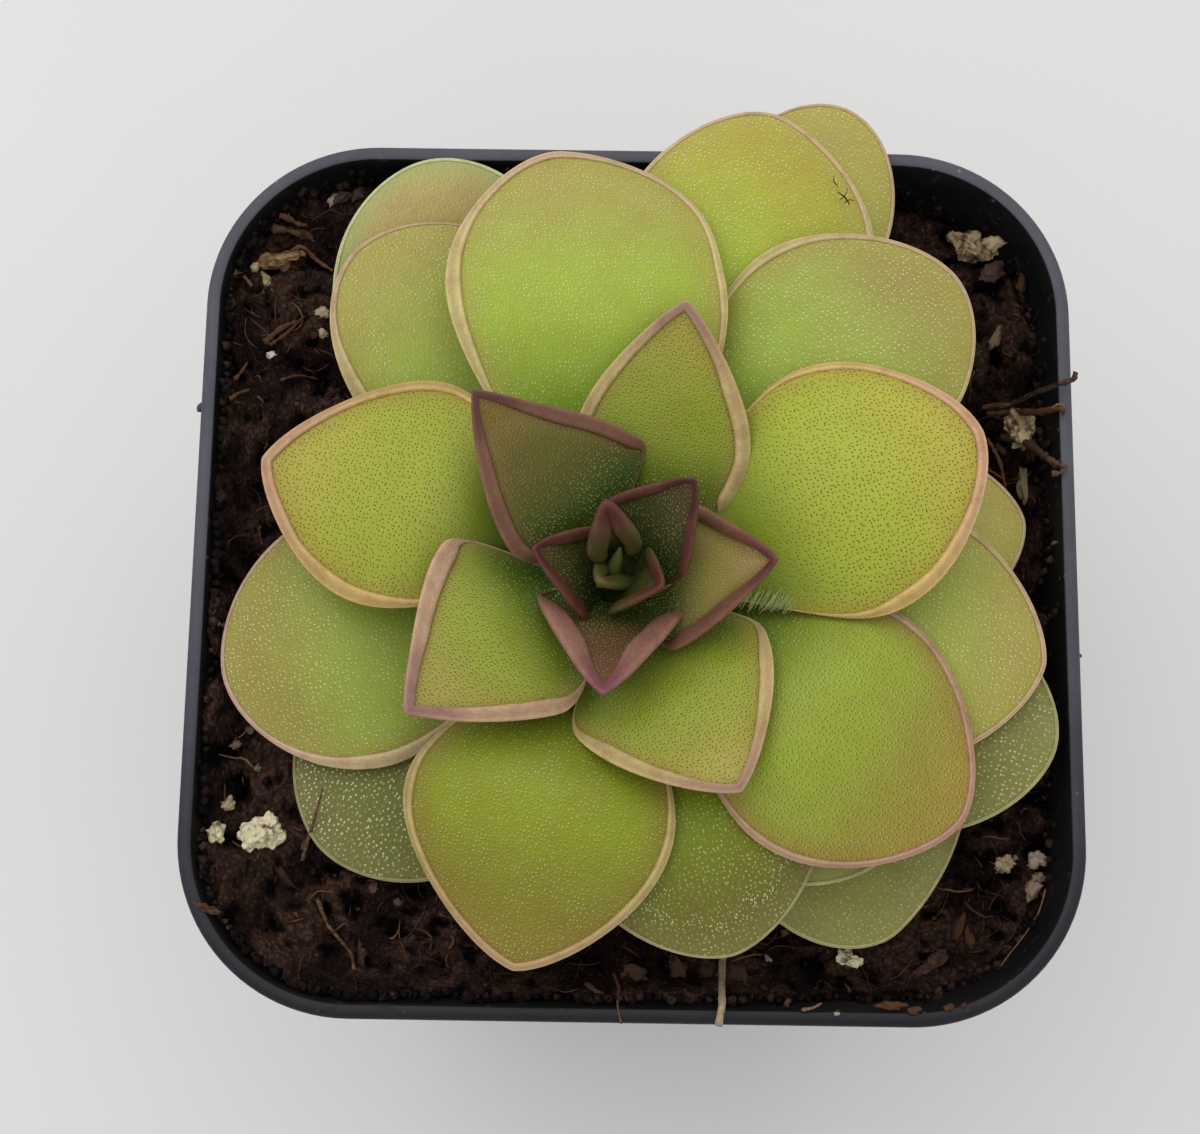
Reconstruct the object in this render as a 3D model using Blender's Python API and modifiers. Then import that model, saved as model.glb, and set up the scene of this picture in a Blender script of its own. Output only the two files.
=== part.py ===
# Potted butterwort: a rosette of fleshy, rolled-edge leaves in a square plastic pot.
# Metres, +Z up, origin at the centre of the pot's base. All sizes below are in millimetres.

import math
from dataclasses import dataclass

import bmesh
import bpy
import numpy as np
from mathutils import Vector, noise
from mathutils.bvhtree import BVHTree

MM = 0.001
CLEAR = 0.3             # gap kept between pieces that touch

# Pot
RIM_HALF = 40.0         # half the side over the rim
RIM_Z = 75.0            # height of the rim
RIM_WIDTH = 1.4         # flat top of the rim
WALL = 1.2
COLLAR_DEPTH = 14.0     # upright band below the rim
NECK_HALF = 37.4        # half the side of the wall right below that band
BASE_HALF = 29.0
FLOOR = 1.6
CORNER_SHARE = 0.39     # corner radius as a share of half the side
CORNER_STEPS = 8
DRAIN_RADIUS = 3.0
DRAIN_OFFSET = 17.0

# Soil
SOIL_Z = 68.0           # mean level of its surface
SOIL_SLOPE_X = -0.065   # the surface is higher on the left
SOIL_LUMP = 1.5         # height of its clods
SOIL_CLOD = 5.5         # width of its clods
SOIL_RINGS = 13
SIDE_STEPS = 6

# Crown, the short upright stem that every leaf grows from
AXIS_X, AXIS_Y = -1.7, -2.4
CROWN_RADIUS = 3.6
CROWN_FOOT_Z = 60.0
CROWN_TAPER_Z = 74.0    # it narrows from here to its top
CROWN_TOP_Z = 85.5

# Loose litter on the soil: place, length, width and height, and turn in degrees
PERLITE = [
    (-33.9, -23.9, 4.4, 3.2, 2.6, 15),
    (-36.6, -24.2, 1.8, 1.6, 1.3, 60),
    (31.6, 31.8, 5.0, 3.0, 2.4, -20),
    (36.0, 15.4, 2.6, 3.6, 2.0, 10),
    (34.4, -25.6, 4.0, 3.0, 2.2, 30),
    (20.0, -34.6, 2.6, 1.8, 1.5, 0),
]
BARK = [
    (-34.3, 29.6, 6.0, 1.6, 1.2, 12),
    (-31.8, 32.6, 4.2, 1.4, 1.0, -8),
    (27.5, -34.8, 4.0, 1.6, 1.2, 40),
]
RIM_CHIP = (-37.6, -31.0, 2.6, 1.0, 0.7, -20)
TWIG_RADIUS = 0.4
TWIGS = {
    "twig_front_left": [(-28.0, -19.4), (-28.6, -22.6), (-29.5, -25.6)],
    "twig_right": [(34.6, 14.2), (36.0, 12.9), (37.2, 12.2)],
    "bark_fibre": [(-28.2, -29.6), (-27.0, -32.2), (-24.9, -34.6), (-24.4, -36.6)],
}
STALK_RADIUS = 0.45     # dry flower stalk that lies over the front rim
STALK = [(8.6, -31.5, 1.0), (8.4, -34.6, 1.6), (8.1, -36.8, 5.2),
         (7.9, -38.2, 8.5), (7.7, -39.4, 8.7), (7.6, -40.0, 8.4)]
ROOT = [(33.0, 17.0, 0.9), (35.4, 17.1, 2.2), (37.2, 17.1, 7.0),
        (38.4, 17.2, 8.8), (39.6, 17.6, 8.7), (40.0, 18.4, 8.5)]

# Leaves
THICKNESS = 0.7
LEAF_STEPS = 8          # stations from the base to the tip, on each side
CURL_STEPS = 2
LIFT_SLOPE = 0.55       # how fast a leaf that rides over another comes down again
CELL = 0.25             # grid of the height map that the leaves settle on
MAP_HALF = 60.0
SPARE = 0.05            # added to the gap for the steps of the map
STATIONS = np.linspace(0, 1, 41)    # along a leaf, where its lift is kept
SETTLE_ROUNDS = 4


@dataclass
class Leaf:
    """One leaf: angles in degrees, the rest in millimetres or as shares of its length."""
    name: str
    azimuth: float      # direction of the midrib, anticlockwise from +X
    reach: float        # from the crown's axis to the tip
    base_z: float
    tip_z: float
    arch: float         # rise of the midrib over the straight line
    left: float         # half width on the left of the midrib
    right: float
    widest: float       # share of the length where it is widest
    point: float        # 0.5 gives a round tip, 1 a pointed one
    base: float = 2.4   # half width at the crown
    bend: float = 0.0   # sideways shift of the tip
    dome: float = 2.0   # how far the sides hang below the midrib
    roll: float = 1.1   # radius of the rolled margin
    curl: float = 50.0  # how far the margin rolls up
    start: float = 3.0  # distance from the crown's axis to the leaf's base
    swell: float = 1.3  # 1 widens at once from the base, 2 later
    taper: float = 2.0  # 2 keeps the sides full towards the tip, 1 makes them straight


# What the leaves of one whorl share
LOW = dict(base=1.8, swell=2.0, curl=40, start=4.3, dome=2.2)
OUTER = dict(base=1.8, swell=2.0, curl=50, start=4.1, dome=3.0)
MAIN = dict(base=2.2, swell=1.6, curl=60, start=3.7, dome=4.0)
MID = dict(base=2.3, curl=75, start=3.2, dome=1.2, taper=1.6)
INNER = dict(curl=95, dome=0.0, roll=0.9, taper=1.3)
YOUNG = dict(curl=55, dome=0.0, roll=0.5, taper=1.3)

# From the lowest leaf to the innermost
LEAVES = [
    Leaf("leaf_low_back_left", 120, 46, 68, 71.5, 3, 9.8, 9.3, 0.68, 0.55, **LOW),
    Leaf("leaf_low_back_right", 64.5, 50, 68, 76.5, 4, 8, 8.5, 0.75, 0.5, **LOW),
    Leaf("leaf_low_front_left", 222, 35.5, 68, 71, 1, 10, 10.5, 0.62, 0.55, **LOW),
    Leaf("leaf_low_front_right", 310, 39, 68, 69, 2, 14, 9, 0.72, 0.55, **LOW),
    Leaf("leaf_low_right", 11, 38.5, 68, 71, 2, 8, 8, 0.65, 0.6, **LOW),
    Leaf("leaf_low_right_front", 341, 42, 68, 76.5, 2, 9.5, 11, 0.65, 0.55, **LOW),
    Leaf("leaf_low_inner_front", 313, 32.8, 69, 72, 1.5, 9, 9, 0.65, 0.6, **LOW),
    Leaf("leaf_outer_back_left", 127, 40.3, 70, 74, 3, 9, 12, 0.66, 0.5, **OUTER),
    Leaf("leaf_outer_back", 69, 45.8, 70, 77.5, 3, 10, 11.3, 0.70, 0.6, bend=2.5, **OUTER),
    Leaf("leaf_outer_front", 289, 33.4, 70, 73, 2, 9.5, 9.5, 0.62, 0.6, **OUTER),
    Leaf("leaf_outer_right", 351, 38.8, 70, 75, 3, 11.5, 10, 0.62, 0.65, **OUTER),
    Leaf("leaf_outer_left", 193, 35.8, 70, 74, 3, 11, 11.2, 0.60, 0.55, **OUTER),
    Leaf("leaf_outer_back_right", 43, 42.5, 70, 77, 3, 13.2, 10.5, 0.66, 0.55, **OUTER),
    Leaf("leaf_main_front_right", 326, 36.4, 71, 77, 3, 11.7, 11.7, 0.58, 0.65, **MAIN),
    Leaf("leaf_main_front", 256, 34, 71, 76, 4, 11.2, 13.2, 0.56, 0.7, **MAIN),
    Leaf("leaf_main_back", 94, 39.5, 71, 79, 4, 12, 12.3, 0.62, 0.55, bend=2.5, **MAIN),
    Leaf("leaf_main_left", 160, 32.5, 72, 79, 3, 9.8, 12.8, 0.55, 0.7, bend=2, **MAIN),
    Leaf("leaf_main_right", 22, 34.2, 72, 80, 3, 10.8, 10.8, 0.56, 0.6, **MAIN),
    Leaf("leaf_mid_front", 300, 21, 76, 83.5, 1, 8.2, 7.8, 0.36, 0.8, **MID),
    Leaf("leaf_mid_left", 215, 20.5, 76, 85, 1, 6.5, 9.3, 0.5, 0.85, **MID),
    Leaf("leaf_mid_back", 74.5, 24.2, 77, 86, 1, 8.5, 7.4, 0.46, 0.85, **MID),
    Leaf("leaf_mid_back_left", 131, 18.3, 78, 88, 0.5, 5.2, 8.4, 0.25, 0.95, **MID),
    Leaf("leaf_inner_right", 2, 12.6, 80, 90, 0.3, 6.2, 5.8, 0.3, 0.9, base=2.2, start=2.8, **INNER),
    Leaf("leaf_inner_front", 265, 10.5, 80, 90, 0.3, 5.2, 5.6, 0.2, 0.95, base=2.6, start=2.8, **INNER),
    Leaf("leaf_inner_back", 46, 8.6, 81, 90, 0.3, 4, 3.6, 0.4, 0.9, base=1.8, start=2.5, **INNER),
    Leaf("leaf_inner_left", 166, 6.6, 82, 90, 0.3, 3.5, 3.5, 0.35, 0.9, base=1.8, start=2.4, **INNER),
]
YOUNG_LEAVES = [
    Leaf("leaf_young_back", 97, 5.0, 84, 91, 0.2, 2.2, 2.2, 0.3, 0.9, base=0.9, start=1.5, **YOUNG),
    Leaf("leaf_young_right", 338, 4.2, 84, 90, 0.2, 1.8, 1.8, 0.3, 0.9, base=0.9, start=1.4, **YOUNG),
    Leaf("leaf_young_left", 225, 2.9, 84, 89, 0.2, 1.4, 1.4, 0.4, 0.8, base=0.8, start=1.1, **YOUNG),
]


def clear_scene():
    for obj in list(bpy.data.objects):
        bpy.data.objects.remove(obj, do_unlink=True)


def new_collection(name):
    collection = bpy.data.collections.new(name)
    bpy.context.scene.collection.children.link(collection)
    return collection


def principled(name, color, roughness):
    material = bpy.data.materials.new(name)
    material.use_nodes = True
    shader = material.node_tree.nodes["Principled BSDF"]
    shader.inputs["Base Color"].default_value = (*color, 1.0)
    shader.inputs["Roughness"].default_value = roughness
    return material


def add_object(name, mesh, material, collection):
    obj = bpy.data.objects.new(name, mesh)
    mesh.materials.append(material)
    collection.objects.link(obj)
    return obj


def mesh_from_bmesh(name, bm):
    mesh = bpy.data.meshes.new(name)
    bm.to_mesh(mesh)
    bm.free()
    mesh.shade_smooth()
    mesh.set_sharp_from_angle(angle=math.radians(40))
    return mesh


def rounded_square(half, radius, side_steps=1):
    """Points of a rounded square, anticlockwise from the +X end of its corner between +X and +Y."""
    points = []
    centre = half - radius
    for corner in range(4):
        turn = math.pi / 2 * corner
        cx, cy = rotate(centre, centre, turn)
        for step in range(CORNER_STEPS + 1):
            angle = turn + math.pi / 2 * step / CORNER_STEPS
            points.append((cx + radius * math.cos(angle), cy + radius * math.sin(angle)))
        end = rotate(centre, half, turn)
        start = rotate(-centre, half, turn)
        for step in range(1, side_steps):
            share = step / side_steps
            points.append((end[0] + (start[0] - end[0]) * share, end[1] + (start[1] - end[1]) * share))
    return points


def rotate(x, y, angle):
    return x * math.cos(angle) - y * math.sin(angle), x * math.sin(angle) + y * math.cos(angle)


def loft(name, rings):
    """Closed body through a list of rings of points; its first and last rings are capped."""
    bm = bmesh.new()
    rows = [[bm.verts.new((x * MM, y * MM, z * MM)) for x, y, z in ring] for ring in rings]
    count = len(rows[0])
    for low, high in zip(rows, rows[1:]):
        for i in range(count):
            j = (i + 1) % count
            bm.faces.new((low[i], low[j], high[j], high[i]))
    bm.faces.new(list(reversed(rows[0])))
    bm.faces.new(rows[-1])
    bmesh.ops.recalc_face_normals(bm, faces=bm.faces)
    bmesh.ops.triangulate(bm, faces=[f for f in bm.faces if len(f.verts) == 4])
    return mesh_from_bmesh(name, bm)


def pot_outer(z):
    """Half the side of the pot's outer wall below the collar."""
    return BASE_HALF + (NECK_HALF - BASE_HALF) * z / (RIM_Z - COLLAR_DEPTH)


def square_ring(half, z, side_steps=1, inset=0.0):
    """Ring at a height; inset keeps a wall of even thickness round the corners."""
    outline = rounded_square(half - inset, half * CORNER_SHARE - inset, side_steps)
    return [(x, y, z) for x, y in outline]


def build_pot(material, parts, cutters):
    collar_z = RIM_Z - COLLAR_DEPTH
    collar_half = RIM_HALF - 0.6
    outer = [
        square_ring(pot_outer(0) - 1.0, 0.0),
        square_ring(pot_outer(0), 1.2),
        square_ring(pot_outer(collar_z), collar_z),
        square_ring(collar_half - 0.4, collar_z + 1.2),
        square_ring(collar_half, RIM_Z - 1.6),
        square_ring(RIM_HALF, RIM_Z - 1.0),
        square_ring(RIM_HALF, RIM_Z - 0.3),
        square_ring(RIM_HALF - 0.3, RIM_Z),
    ]
    inner = [
        square_ring(RIM_HALF, RIM_Z, inset=RIM_WIDTH),
        square_ring(collar_half, RIM_Z - 0.6, inset=WALL),
        square_ring(collar_half - 0.4, collar_z + 1.2, inset=WALL),
        square_ring(pot_outer(collar_z), collar_z - 0.4, inset=WALL),
        square_ring(pot_outer(FLOOR), FLOOR, inset=WALL),
    ]
    pot = add_object("pot", loft("pot", outer + inner), material, parts)
    for index in range(4):
        x, y = rotate(DRAIN_OFFSET, DRAIN_OFFSET, math.pi / 2 * index)
        bpy.ops.mesh.primitive_cylinder_add(vertices=20, radius=DRAIN_RADIUS * MM, depth=8 * MM,
                                            location=(x * MM, y * MM, 0))
        drill = bpy.context.object
        drill.name = f"drain_cutter_{index + 1}"
        drill.hide_render = True
        drill.display_type = "WIRE"
        for collection in drill.users_collection:
            collection.objects.unlink(drill)
        cutters.objects.link(drill)
        cut = pot.modifiers.new(f"drain_{index + 1}", "BOOLEAN")
        cut.operation = "DIFFERENCE"
        cut.object = drill
    return pot


def soil_height(x, y, edge_share):
    """Height of the soil: a slight slope with clods, level at the pot's wall and at the crown."""
    clods = noise.fractal(Vector((x / SOIL_CLOD, y / SOIL_CLOD, 3.1)), 1.0, 2.2, 2)
    calm = min(1.0, (1 - edge_share) * 6) * min(1.0, edge_share * 5)
    return SOIL_Z + SOIL_SLOPE_X * x + SOIL_LUMP * clods * calm


def build_soil(material, collection):
    """Plug of potting mix with a round hole where the crown stands."""
    collar_z = RIM_Z - COLLAR_DEPTH
    gap = WALL + CLEAR
    outline = square_ring(RIM_HALF - 0.7, SOIL_Z, SIDE_STEPS, inset=gap)
    hole = CROWN_RADIUS + CLEAR
    angles = [math.atan2(y - AXIS_Y, x - AXIS_X) for x, y, _ in outline]
    circle = [(AXIS_X + hole * math.cos(a), AXIS_Y + hole * math.sin(a)) for a in angles]
    rings = [[(x, y, CROWN_FOOT_Z - CLEAR) for x, y in circle]]
    for step in range(SOIL_RINGS + 1):
        share = step / SOIL_RINGS
        ring = []
        for (cx, cy), (ox, oy, _) in zip(circle, outline):
            x, y = cx + (ox - cx) * share, cy + (oy - cy) * share
            ring.append((x, y, soil_height(x, y, share)))
        rings.append(ring)
    rings.append(square_ring(RIM_HALF - 1.0, collar_z + 1.2, SIDE_STEPS, inset=gap))
    rings.append(square_ring(pot_outer(collar_z), collar_z - 0.6, SIDE_STEPS, inset=gap))
    rings.append(square_ring(pot_outer(FLOOR), FLOOR + CLEAR, SIDE_STEPS, inset=gap))
    return add_object("soil", loft("soil", rings), material, collection)


def build_crown(material, collection):
    """Turned stub that tapers to a rounded top, its foot in the soil."""
    profile = [(0, CROWN_TOP_Z), (0.45, CROWN_TOP_Z - 0.2), (0.5 * CROWN_RADIUS, CROWN_TOP_Z - 1.5),
               (0.66 * CROWN_RADIUS, CROWN_TOP_Z - 4.5), (0.9 * CROWN_RADIUS, CROWN_TAPER_Z + 1.5),
               (CROWN_RADIUS, CROWN_TAPER_Z), (CROWN_RADIUS, CROWN_FOOT_Z + 2.0),
               (0.5 * CROWN_RADIUS, CROWN_FOOT_Z + 0.3), (0, CROWN_FOOT_Z)]
    bm = bmesh.new()
    verts = [bm.verts.new((x * MM, 0, z * MM)) for x, z in profile]
    for a, b in zip(verts, verts[1:]):
        bm.edges.new((a, b))
    mesh = bpy.data.meshes.new("crown")
    bm.to_mesh(mesh)
    bm.free()
    crown = add_object("crown", mesh, material, collection)
    crown.location = (AXIS_X * MM, AXIS_Y * MM, 0)
    screw = crown.modifiers.new("turn", "SCREW")
    screw.steps = screw.render_steps = 14
    screw.use_merge_vertices = True
    screw.merge_threshold = 0.00001
    screw.use_normal_calculate = True
    return crown


def build_lump(name, place, material, collection, rest_on, seed):
    """Uneven lump, lowered until it just clears the surface under it."""
    x, y, length, width, height, turn = place
    bm = bmesh.new()
    bmesh.ops.create_icosphere(bm, subdivisions=2, radius=0.5)
    for vert in bm.verts:
        bump = 1 + 0.28 * noise.noise(vert.co * 2.4 + Vector((seed, 2 * seed, 0)))
        vert.co = Vector((vert.co.x * length, vert.co.y * width, vert.co.z * height)) * bump
    lowest = [Vector((x, y, 0)) + Vector((*rotate(vert.co.x, vert.co.y, math.radians(turn)), vert.co.z))
              for vert in bm.verts]
    lift = max(ground(rest_on, spot.x, spot.y) - spot.z for spot in lowest) + CLEAR
    for vert, spot in zip(bm.verts, lowest):
        vert.co = (spot + Vector((0, 0, lift))) * MM
    return add_object(name, mesh_from_bmesh(name, bm), material, collection)


def ground(tree, x, y):
    """Height of the surface right below a point, in millimetres."""
    hit = tree.ray_cast(Vector((x, y, 120)) * MM, Vector((0, 0, -1)))[0]
    return hit.z / MM if hit else 0.0


def build_strand(name, points, radius, material, collection):
    """Thin stem along a list of points."""
    curve = bpy.data.curves.new(name, "CURVE")
    curve.dimensions = "3D"
    curve.bevel_depth = radius * MM
    curve.bevel_resolution = 1
    curve.use_fill_caps = True
    spline = curve.splines.new("POLY")
    spline.points.add(len(points) - 1)
    for point, spot in zip(spline.points, points):
        point.co = (*(Vector(spot) * MM), 1.0)
    return add_object(name, curve, material, collection)


def build_litter(perlite, bark, dry, collection, tree):
    """Perlite, bark chips, twigs and a dry stalk, each laid on the soil or over the rim."""
    litter = []
    for index, place in enumerate(PERLITE):
        litter.append(build_lump(f"perlite_{index + 1}", place, perlite, collection, tree, 3.7 * index))
    for index, place in enumerate(BARK):
        litter.append(build_lump(f"bark_{index + 1}", place, bark, collection, tree, 20 + 5.3 * index))
    litter.append(build_lump("bark_on_rim", RIM_CHIP, bark, collection, tree, 41.0))
    for name, route in TWIGS.items():
        points = []
        for x, y in route:
            under = max(ground(tree, x + dx, y + dy) for dx in (-0.5, 0, 0.5) for dy in (-0.5, 0, 0.5))
            points.append((x, y, under + TWIG_RADIUS + CLEAR))
        litter.append(build_strand(name, points, TWIG_RADIUS, bark, collection))
    for name, route, radius, material in (("dry_stalk", STALK, STALK_RADIUS, dry),
                                          ("root_over_rim", ROOT, TWIG_RADIUS, bark)):
        points = [(x, y, SOIL_Z + above) for x, y, above in route]
        litter.append(build_strand(name, points, radius, material, collection))
    return litter


def half_outline(leaf, side):
    """Stations of one side from base to tip: share of the length, and half width."""
    width = leaf.left if side > 0 else leaf.right
    before = LEAF_STEPS // 2
    stations = []
    for step in range(before):
        share = step / before
        swell = math.sin(math.pi / 2 * share) ** leaf.swell
        stations.append((leaf.widest * share, leaf.base + (width - leaf.base) * swell))
    after = LEAF_STEPS - before
    for step in range(after + 1):
        beyond = math.sin(math.pi / 2 * step / after)
        share = leaf.widest + (1 - leaf.widest) * beyond
        stations.append((share, width * (1 - beyond ** leaf.taper) ** leaf.point))
    return stations


def leaf_point(leaf, share, across, height):
    """Place a point of the flat leaf: share of the length, distance across and height above the blade."""
    length = leaf.reach - leaf.start
    azimuth = math.radians(leaf.azimuth)
    out = Vector((math.cos(azimuth), math.sin(azimuth), 0))
    side = Vector((-math.sin(azimuth), math.cos(azimuth), 0))
    rise = leaf.tip_z - leaf.base_z
    slope = rise + 4 * leaf.arch * (1 - 2 * share)
    tangent = out * length + side * (2 * leaf.bend * share) + Vector((0, 0, slope))
    normal = tangent.cross(side).normalized()
    hang = leaf.dome * (across / max(leaf.left, leaf.right)) ** 2
    level = leaf.base_z + rise * share + 4 * leaf.arch * share * (1 - share)
    midrib = Vector((AXIS_X, AXIS_Y, level)) + out * (leaf.start + length * share)
    return midrib + side * (leaf.bend * share ** 2 + across) + normal * (height - hang)


def leaf_sheet(leaf):
    """Upper surface of a leaf as points, their shares of the length, and triangles.

    Rings of points run round the margin, from the free edge of its rolled-up rim inwards to the midrib."""
    length = leaf.reach - leaf.start
    spine_end = 1 - 0.3 * max(leaf.left, leaf.right) / length
    left, right = half_outline(leaf, 1), half_outline(leaf, -1)
    margin = [(share, width) for share, width in left] + [(share, -width) for share, width in right[-2::-1]]
    curl = math.radians(leaf.curl)
    reach_out = leaf.roll * (math.sin(curl) if leaf.curl < 90 else 1.0)
    rings = []
    for step in range(CURL_STEPS, -1, -1):
        angle = curl * step / CURL_STEPS
        rings.append((reach_out - leaf.roll * math.sin(angle), leaf.roll * (1 - math.cos(angle))))
    points, shares, rows = [], [], []
    for ring in rings + [None]:
        row = []
        for share, across in margin:
            toward = Vector(((spine_end - 1) * share * length, -across))
            if ring is None:
                inward, height = 0.5 * (toward.length + reach_out), 0.0
            else:
                inward, height = ring
            move = toward * min(inward / max(toward.length, 0.01), 0.9)
            at = share + move.x / length
            row.append(len(points))
            points.append(leaf_point(leaf, at, across + move.y, height))
            shares.append(at)
        rows.append(row)
    spine = []
    for step in range(LEAF_STEPS + 1):
        at = left[step][0] * spine_end
        spine.append(len(points))
        points.append(leaf_point(leaf, at, 0.0, 0.0))
        shares.append(at)
    rows.append(spine + spine[-2::-1])
    faces = []
    for outer, inner in zip(rows, rows[1:]):
        for i in range(len(outer) - 1):
            faces.append((outer[i], outer[i + 1], inner[i + 1]))
            if inner[i] != inner[i + 1]:
                faces.append((outer[i], inner[i + 1], inner[i]))
    return points, shares, faces


def sheet_bmesh(points, faces):
    """Open upper surface with its faces looking up."""
    bm = bmesh.new()
    verts = [bm.verts.new(point * MM) for point in points]
    for face in faces:
        bm.faces.new([verts[i] for i in reversed(face)])
    bm.normal_update()
    return bm


class HeightMap:
    """Highest surface so far over a square grid; leaves settle on it from the lowest up."""

    def __init__(self):
        cells = int(2 * MAP_HALF / CELL)
        self.top = np.full((cells, cells), -1.0)

    @staticmethod
    def samples(triangle, values):
        """Evenly spread points of a triangle, and the corner values blended at each."""
        a, b, c = (np.array(corner) for corner in triangle)
        longest = max(np.linalg.norm(b - a), np.linalg.norm(c - b), np.linalg.norm(a - c))
        count = max(2, int(longest / (0.7 * CELL)))
        u, v = np.meshgrid(np.linspace(0, 1, count + 1), np.linspace(0, 1, count + 1))
        inside = u + v <= 1.0 + 1e-9
        u, v = u[inside], v[inside]
        blended = (1 - u - v) * values[0] + u * values[1] + v * values[2]
        return a + np.outer(u, b - a) + np.outer(v, c - a), blended

    @staticmethod
    def cells_of(spots):
        return tuple(((spots[:, axis] + MAP_HALF) / CELL).astype(int) for axis in (0, 1))

    def add(self, points, faces):
        for face in faces:
            spots, _ = self.samples([points[i] for i in face], (0, 0, 0))
            np.maximum.at(self.top, self.cells_of(spots), spots[:, 2])

    def widened(self):
        """The map grown sideways by two cells, so that pieces also clear each other sideways."""
        grown = self.top.copy()
        for dx in range(-2, 3):
            for dy in range(-2, 3):
                grown = np.maximum(grown, np.roll(self.top, (dx, dy), axis=(0, 1)))
        return grown


def raised(points, shares, lift):
    """The leaf's points, each lifted as far as its place along the leaf asks for."""
    return [point + Vector((0, 0, float(np.interp(share, STATIONS, lift))))
            for point, share in zip(points, shares)]


def needed_lift(grown, points, shares, faces):
    """How far each part of a leaf's length still has to rise to lie clear of the widened map."""
    bm = sheet_bmesh(points, faces)
    under = [vert.co / MM - vert.normal * THICKNESS for vert in bm.verts]
    bm.free()
    need = np.zeros_like(STATIONS)
    last = len(STATIONS) - 1
    for face in faces:
        spots, at = HeightMap.samples([under[i] for i in face], [shares[i] for i in face])
        gap = grown[HeightMap.cells_of(spots)] + CLEAR + SPARE - spots[:, 2]
        index = np.clip(np.rint(at * last).astype(int), 0, last)
        np.maximum.at(need, index, gap)
    return need


def settle(leaf, height_map):
    """Final points of a leaf: the sheet raised, station by station, to lie on what is under it."""
    points, shares, faces = leaf_sheet(leaf)
    length = leaf.reach - leaf.start
    spread = np.abs(STATIONS[:, None] - STATIONS[None, :]) * length * LIFT_SLOPE
    grown = height_map.widened()
    lift = np.zeros_like(STATIONS)
    for _ in range(SETTLE_ROUNDS):
        need = needed_lift(grown, raised(points, shares, lift), shares, faces)
        lift += np.maximum(0, (need[None, :] - spread).max(axis=1))
        lift = np.convolve(np.pad(lift, 3, mode="edge"), np.ones(7) / 7, mode="valid")
    need = needed_lift(grown, raised(points, shares, lift), shares, faces)
    return raised(points, shares, lift + need.max()), faces


def build_leaf(leaf, height_map, material, collection):
    points, faces = settle(leaf, height_map)
    height_map.add(points, faces)
    sheet = mesh_from_bmesh(leaf.name, sheet_bmesh(points, faces))
    obj = add_object(leaf.name, sheet, material, collection)
    thick = obj.modifiers.new("thickness", "SOLIDIFY")
    thick.thickness = THICKNESS * MM
    thick.offset = -1.0
    return obj


def surface_of(obj):
    """Points and triangles of an object's final mesh, in millimetres."""
    evaluated = obj.evaluated_get(bpy.context.evaluated_depsgraph_get())
    mesh = evaluated.to_mesh()
    mesh.calc_loop_triangles()
    points = [obj.matrix_world @ vert.co / MM for vert in mesh.vertices]
    faces = [tuple(tri.vertices) for tri in mesh.loop_triangles]
    evaluated.to_mesh_clear()
    return points, faces


def surface_tree(surfaces):
    """Search tree over several surfaces, in metres."""
    points, faces = [], []
    for spots, triangles in surfaces:
        faces += [tuple(i + len(points) for i in triangle) for triangle in triangles]
        points += [spot * MM for spot in spots]
    return BVHTree.FromPolygons(points, faces)


def main():
    clear_scene()
    parts = new_collection("potted_butterwort")
    cutters = new_collection("cutters")
    plastic = principled("black_plastic", (0.02, 0.02, 0.024), 0.45)
    mix = principled("potting_mix", (0.022, 0.015, 0.013), 0.95)
    green = principled("leaf", (0.36, 0.42, 0.09), 0.4)
    purple = principled("young_leaf", (0.18, 0.12, 0.07), 0.4)
    stem = principled("crown", (0.2, 0.22, 0.07), 0.6)
    perlite = principled("perlite", (0.5, 0.43, 0.27), 0.9)
    bark = principled("bark", (0.12, 0.06, 0.03), 0.9)
    dry = principled("dry_stalk", (0.5, 0.4, 0.25), 0.7)
    pot = build_pot(plastic, parts, cutters)
    soil = build_soil(mix, parts)
    crown = build_crown(stem, parts)
    bpy.context.view_layer.update()
    grounds = [surface_of(pot), surface_of(soil)]
    litter = build_litter(perlite, bark, dry, parts, surface_tree(grounds))
    bpy.context.view_layer.update()
    height_map = HeightMap()
    for surface in grounds + [surface_of(obj) for obj in litter]:
        height_map.add(*surface)
    for leaf in LEAVES:
        build_leaf(leaf, height_map, purple if leaf.name.startswith("leaf_inner") else green, parts)
    height_map.add(*surface_of(crown))
    for leaf in YOUNG_LEAVES:
        build_leaf(leaf, height_map, purple, parts)


main()
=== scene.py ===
import math

import bmesh
import bpy
import numpy as np
from mathutils import Matrix, Vector, geometry, noise
from mathutils.bvhtree import BVHTree


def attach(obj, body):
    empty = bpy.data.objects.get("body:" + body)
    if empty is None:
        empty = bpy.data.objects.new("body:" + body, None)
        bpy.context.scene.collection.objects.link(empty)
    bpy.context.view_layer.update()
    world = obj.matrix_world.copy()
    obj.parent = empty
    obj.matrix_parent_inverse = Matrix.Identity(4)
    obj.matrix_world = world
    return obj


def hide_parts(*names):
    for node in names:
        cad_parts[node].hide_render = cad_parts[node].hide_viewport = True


# A butterwort rosette in a black nursery pot, seen from above. Lengths in the tables are millimetres.
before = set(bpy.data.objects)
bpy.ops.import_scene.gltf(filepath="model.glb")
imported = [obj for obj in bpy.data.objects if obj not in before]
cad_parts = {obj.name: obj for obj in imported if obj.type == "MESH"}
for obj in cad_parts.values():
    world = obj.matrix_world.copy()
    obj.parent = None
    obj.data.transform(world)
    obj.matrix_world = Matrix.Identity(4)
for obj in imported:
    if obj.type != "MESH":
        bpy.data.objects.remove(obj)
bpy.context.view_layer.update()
mm = 0.001
print("frame loaded:", len(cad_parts), "nodes")


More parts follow.
